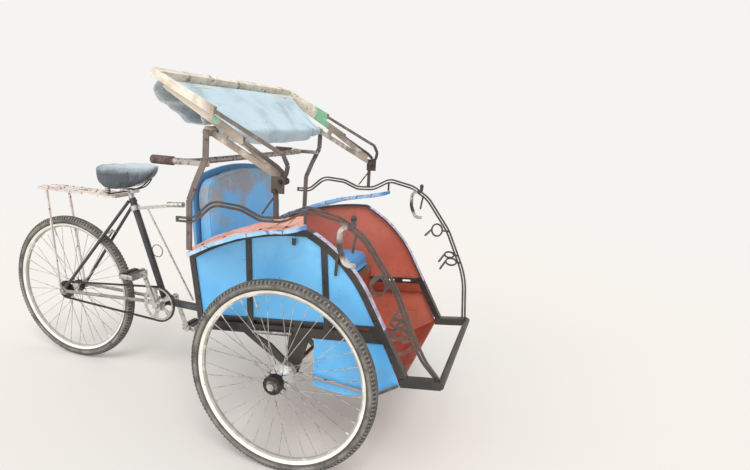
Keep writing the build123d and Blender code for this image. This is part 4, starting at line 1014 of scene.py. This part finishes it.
def bunch_folds(along, across):
    """Loose folds running across the hood, deeper away from the sheet's ends."""
    wide = 7.0 * sin(along * 21 + 2.2 * sin(across * 5.0))
    small = 3.0 * sin(along * 47 + across * 11) + 3.5 * sin(across * 23 + along * 6)
    ends = sin(pi * min(max(along, 0.02), 0.98)) ** 0.5
    return (wide + small) * ends * 0.75, 6.0 * abs(sin(along * 9))


SKIN_LINE = [from_bar(x, up) for x, up in (
    (-15.5, -9), (-15.5, 14.5), (15.5, 14.5), (60, 3.5), (110, -9), (160, -21), (186, -25.5),
    (209, -27), (215, -40), (217.5, -62), (219.5, -84),
)]
BUNCH_LINE = [PIVOT + Vector((x * MM, 0, z * MM)) for x, z in (
    (-466, 294), (-488, 290), (-508, 268), (-512, 245), (-470, 212), (-436, 188), (-384, 161),
    (-335, 151), (-307, 150), (-306, 162), (-332, 190), (-360, 214), (-392, 244), (-414, 247),
)]
laid_sheet(
    "hood_skin", SKIN_LINE, "pale_tarpaulin", skin_folds,
    ("hood_cloth_rear",),
    drawn_up=32,
)
laid_sheet(
    "hood_bunch", BUNCH_LINE, "painted_light_tarpaulin", bunch_folds,
    ("hood_cloth_front",),
)

# Grips: ribbed sleeves, open at the front where the tube goes in
GRIP_REAR, GRIP_FRONT, GRIP_Y, GRIP_Z = -474.0, -388.0, 425.0, 1072.0
TUBE_R = 11.1
RIBS, RIB_PITCH = 13, 6.4
RIB = ((14.0, 1.5), (15.0, 0.0), (15.0, -2.4), (13.8, -3.4))
GRIP_END = ((14.6, 1.5), (12.5, 0.0), (0.4, 0.0), (0.4, 6.0))

made = bmesh.new()
section = [(TUBE_R, 6.0), (TUBE_R, GRIP_FRONT - GRIP_REAR)]
for rib in range(RIBS, 0, -1):
    section += [(r, rib * RIB_PITCH + w) for r, w in RIB]
section += GRIP_END
for _, sign in SIDES:
    turned(made, section, at(GRIP_REAR, sign * GRIP_Y, GRIP_Z), (1, 0, 0), 28)
piece_from(
    closed_mesh(made), "ribbed_grips", "brown_rubber", "carriage", ("handlebar_grips",),
)

# Bolt heads and rivets, each set down along a ray
WASHER, HEAD = (1.45, 0.25), (1.0, 1.0)
HEAD_TAPER = 0.9
FRAME_BOLTS = (
    (-386, 560), (-392, 660), (-340, 752), (-173, 826), (-60, 850), (60, 850), (120, 820),
    (200, 757), (262, 672), (303, 590), (-172, 690), (-169, 585), (117, 700), (129, 590),
    (352, 512), (388, 447), (20, 520), (221, 541),
)
RAIL_BOLTS, RAIL_Z, RAIL_RISE = (-330, -60, 60, 280), 494, 0.105
BOARD_BOLTS = ((-300, 400), (-200, 420), (-90, 300), (-60, 430), (30, 425))
CHEEK_RIVETS = (
    (100, 470), (100, 380), (100, 315), (210, 306), (310, 328), (385, 375), (370, 440),
    (340, 495), (220, 490),
)
PIVOT_NUTS = ((22, 1042), (4, 1012))


def set_down(name, starts, toward):
    """Where rays meet a CAD node, with its outward direction there."""
    hits = [NODES[name].ray_cast(start, Vector(toward)) for start in starts]
    return [(place, normal) for hit, place, normal, _ in hits if hit]


def bolt_heads(name, places, radius_mm, height_mm, finish, sides=6):
    """A washer and a head at each place, as one piece on the carriage."""
    made = bmesh.new()
    for place, normal in places:
        for (size, rise), segments in ((WASHER, 14), (HEAD, sides)):
            high, r = height_mm * rise, radius_mm * size
            peg(made, place + normal * high / 2 * MM, normal, high, r, r * HEAD_TAPER, segments)
    piece_from(closed_mesh(made), name, finish, "carriage", sharp=25)


for side, sign in SIDES:
    inward = (0, -sign, 0)
    spots = set_down("side_frame_" + side, [at(x, sign * 500, z) for x, z in FRAME_BOLTS], inward)
    rail = [at(x, sign * 500, RAIL_Z + RAIL_RISE * x) for x in RAIL_BOLTS]
    spots += set_down("chassis", rail, inward)
    bolt_heads("frame_bolts_" + side, spots, 4.2, 4.0, "black_enamel")
    over = [at(x, sign * y, 1000) for x, y in BOARD_BOLTS]
    spots = set_down("armrest_" + side, over, (0, 0, -1))
    bolt_heads("board_bolts_" + side, spots, 4.5, 2.5, "oily_steel", 12)
    beside = [at(x, sign * 500, z) for x, z in CHEEK_RIVETS]
    spots = set_down("footwell_cheek_" + side, beside, inward)
    bolt_heads("cheek_rivets_" + side, spots, 2.6, 1.6, "blue_sheet_steel", 10)
    spots = set_down("hood_pivot_" + side, [at(x, sign * 520, z) for x, z in PIVOT_NUTS], inward)
    bolt_heads("pivot_nuts_" + side, spots, 7.0, 6.0, "oily_steel")

# Small fittings of each side: places are along, out from the body's side, and up, in mm
PIPE_LINE, PIPE_OUT, PIPE_R = ((-153, 471), (-75, 480), (4, 489)), 7.4, 6.0
CLIPS, CLIP_R = ((-125, 474), (-24, 486)), 1.6
CLIP_BEND = ((1, -9), (17, 0), (1, 9))
KNOB_AT = (262, 956)
KNOB_SECTION = (
    (0.3, -9.5), (4.5, -8.6), (8.0, -5.0), (9.4, 0.0), (8.0, 5.0), (4.5, 8.6), (0.3, 9.5),
)
SIDE_BARS = (
    # A black strip inside the rail: painted shade, dark in the slots below the side panels where
    # the seat's underside is in shade
    ("rail_lining_", "black_enamel", "black_steel", ((-366, -16, 475), (110, -16, 525), (34, 3))),
    ("floor_batten_", "sawn_plank", "board", ((322, 3.4, 323), (400, 3.4, 374), (9, 4))),
    (
        "panel_tabs_", "dark_plate_enamel", "black_steel",
        ((3, 6, 836), (3, 6, 812), (14, 3, (1, 0, 0))),
        ((163, 6, 797), (159, 6, 727), (10, 4, (1, 0, 0))),
    ),
)
CAGE_THICK, CAGE_STEP = 3, 4

for side, sign in SIDES:
    # A plain pipe clipped along the rail, and the knob on the railing's scroll
    pipe = [at(x, sign * (BODY_HALF + PIPE_OUT), z) for x, z in PIPE_LINE]
    parts = [wire(pipe, PIPE_R, sides=5)]
    for x, z in CLIPS:
        bend = [at(x, sign * (BODY_HALF + out), z + up) for out, up in CLIP_BEND]
        parts.append(wire(bend, CLIP_R))
    mesh = closed_mesh(opened(*parts))
    piece_from(mesh, "rail_pipe_" + side, "aged_steel", "carriage")
    made = bmesh.new()
    turned(made, KNOB_SECTION, at(KNOB_AT[0], sign * RAILING_Y, KNOB_AT[1]), (0, 1, 0), 20)
    bmesh.ops.holes_fill(made, edges=made.edges)
    piece_from(closed_mesh(made), "scroll_knob_" + side, "black_enamel", "carriage")

for side, sign in SIDES:
    for name, finish, slot, *bars in SIDE_BARS:
        made = bmesh.new()
        for *ends, sizes in bars:
            bar(made, *[at(x, sign * (BODY_HALF + out), z) for x, out, z in ends], *sizes)
        piece_from(closed_mesh(made), name + side, finish, "carriage")
    # The pedal's steel cage: two long bars, and two lower ones across their ends
    pedal = "pedal_" + side
    low, high = (Vector(corner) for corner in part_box(pedal))
    deep, z = (high.z - low.z) / MM, (low.z + high.z) / 2
    made = bmesh.new()
    for x in (low.x, high.x):
        ends = Vector((x, low.y, z)), Vector((x, high.y, z))
        bar(made, *ends, deep + CAGE_STEP, CAGE_THICK)
    for y in (low.y, high.y):
        ends = Vector((low.x, y, z)), Vector((high.x, y, z))
        bar(made, *ends, deep - CAGE_STEP, CAGE_THICK)
    piece_from(closed_mesh(made), "pedal_cage_" + side, "bare_steel", pedal)

# Rim brake on the seat stays, and the wire ring on the seat tube
STAY_TOP, STAY_FOOT = at(-963, 21.5, 823), at(-1325, 62, 373)
BRIDGE_Z, BRIDGE_R = 662, 4.5
BRAKE_ARM = (
    (-1098, 0, 664), (-1102, 16, 672), (-1112, 29, 658), (-1135, 30, 630), (-1152, 24, 606),
)
ARM_R = 4.0
SHOE_AT, SHOE_SIZE, SHOE_LEAN = (-1151, 21.0, 606), (0.010, 0.007, 0.036), 53.5
SHOE_EASED = 0.0018
RING_AT, RING_R, RING_POINTS, RING_WIRE_R = (-836, 606), 29, 12, 1.8


def on_stay(height, sign):
    """A point on a seat stay; a sign of 0 gives the middle between the two."""
    share = (STAY_TOP.z - height * MM) / (STAY_TOP.z - STAY_FOOT.z)
    point = STAY_TOP.lerp(STAY_FOOT, share)
    return Vector((point.x, sign * point.y, point.z))


brake_parts = [wire([on_stay(BRIDGE_Z, sign) for sign in (-1, 0, 1)], BRIDGE_R)]
for _, sign in SIDES:
    brake_parts.append(wire([at(x, sign * y, z) for x, y, z in BRAKE_ARM], ARM_R))
    made = bmesh.new()
    place = Matrix.Translation(at(SHOE_AT[0], sign * SHOE_AT[1], SHOE_AT[2]))
    lean = Matrix.Rotation(radians(SHOE_LEAN), 4, "Y")
    size = Matrix.Diagonal((*SHOE_SIZE, 1.0))
    bmesh.ops.create_cube(made, size=1.0, matrix=place @ lean @ size)
    eased(made, made.edges, SHOE_EASED)
    brake_parts.append(closed_mesh(made))
mesh = closed_mesh(opened(*brake_parts))
piece_from(mesh, "rear_rim_brake", "bare_steel", "rear_end")

turns = [number * 2 * pi / RING_POINTS for number in range(RING_POINTS)]
ring = [
    at(RING_AT[0] + RING_R * cos(turn), 0, RING_AT[1] + RING_R * sin(turn))
    for turn in turns
]
piece_from(
    wire(ring, RING_WIRE_R, closed=True), "wire_ring", "oily_steel", "rear_end",
)

# Coil springs and wire rails under the saddle
COIL_AT, COIL_R, COIL_FOOT, COIL_WIRE_R = (-1052, 46), 11, 852, 1.9
COIL_POINTS, POINTS_A_TURN = 33, 8
RAIL_WIRE_R = 3.0
SADDLE_RAILS = (
    ((-958, 18, 869), (-1000, 24, 862), (-1034, 40, 854), (-1052, 50, 851)),
    ((-972, 18, 871), (-930, 18, 878), (-880, 12, 902), (-858, 6, 930)),
)
spring_parts = []
for _, sign in SIDES:
    coil = []
    for number in range(COIL_POINTS):
        turn = number * 2 * pi / POINTS_A_TURN
        x, y = COIL_AT[0] + COIL_R * cos(turn), sign * COIL_AT[1] + COIL_R * sin(turn)
        coil.append(at(x, y, COIL_FOOT + number))
    spring_parts.append(wire(coil, COIL_WIRE_R, sides=2))
    for rail in SADDLE_RAILS:
        spring_parts.append(wire([at(x, sign * y, z) for x, y, z in rail], RAIL_WIRE_R))
mesh = closed_mesh(opened(*spring_parts))
piece_from(mesh, "saddle_springs", "oily_steel", "rear_end")
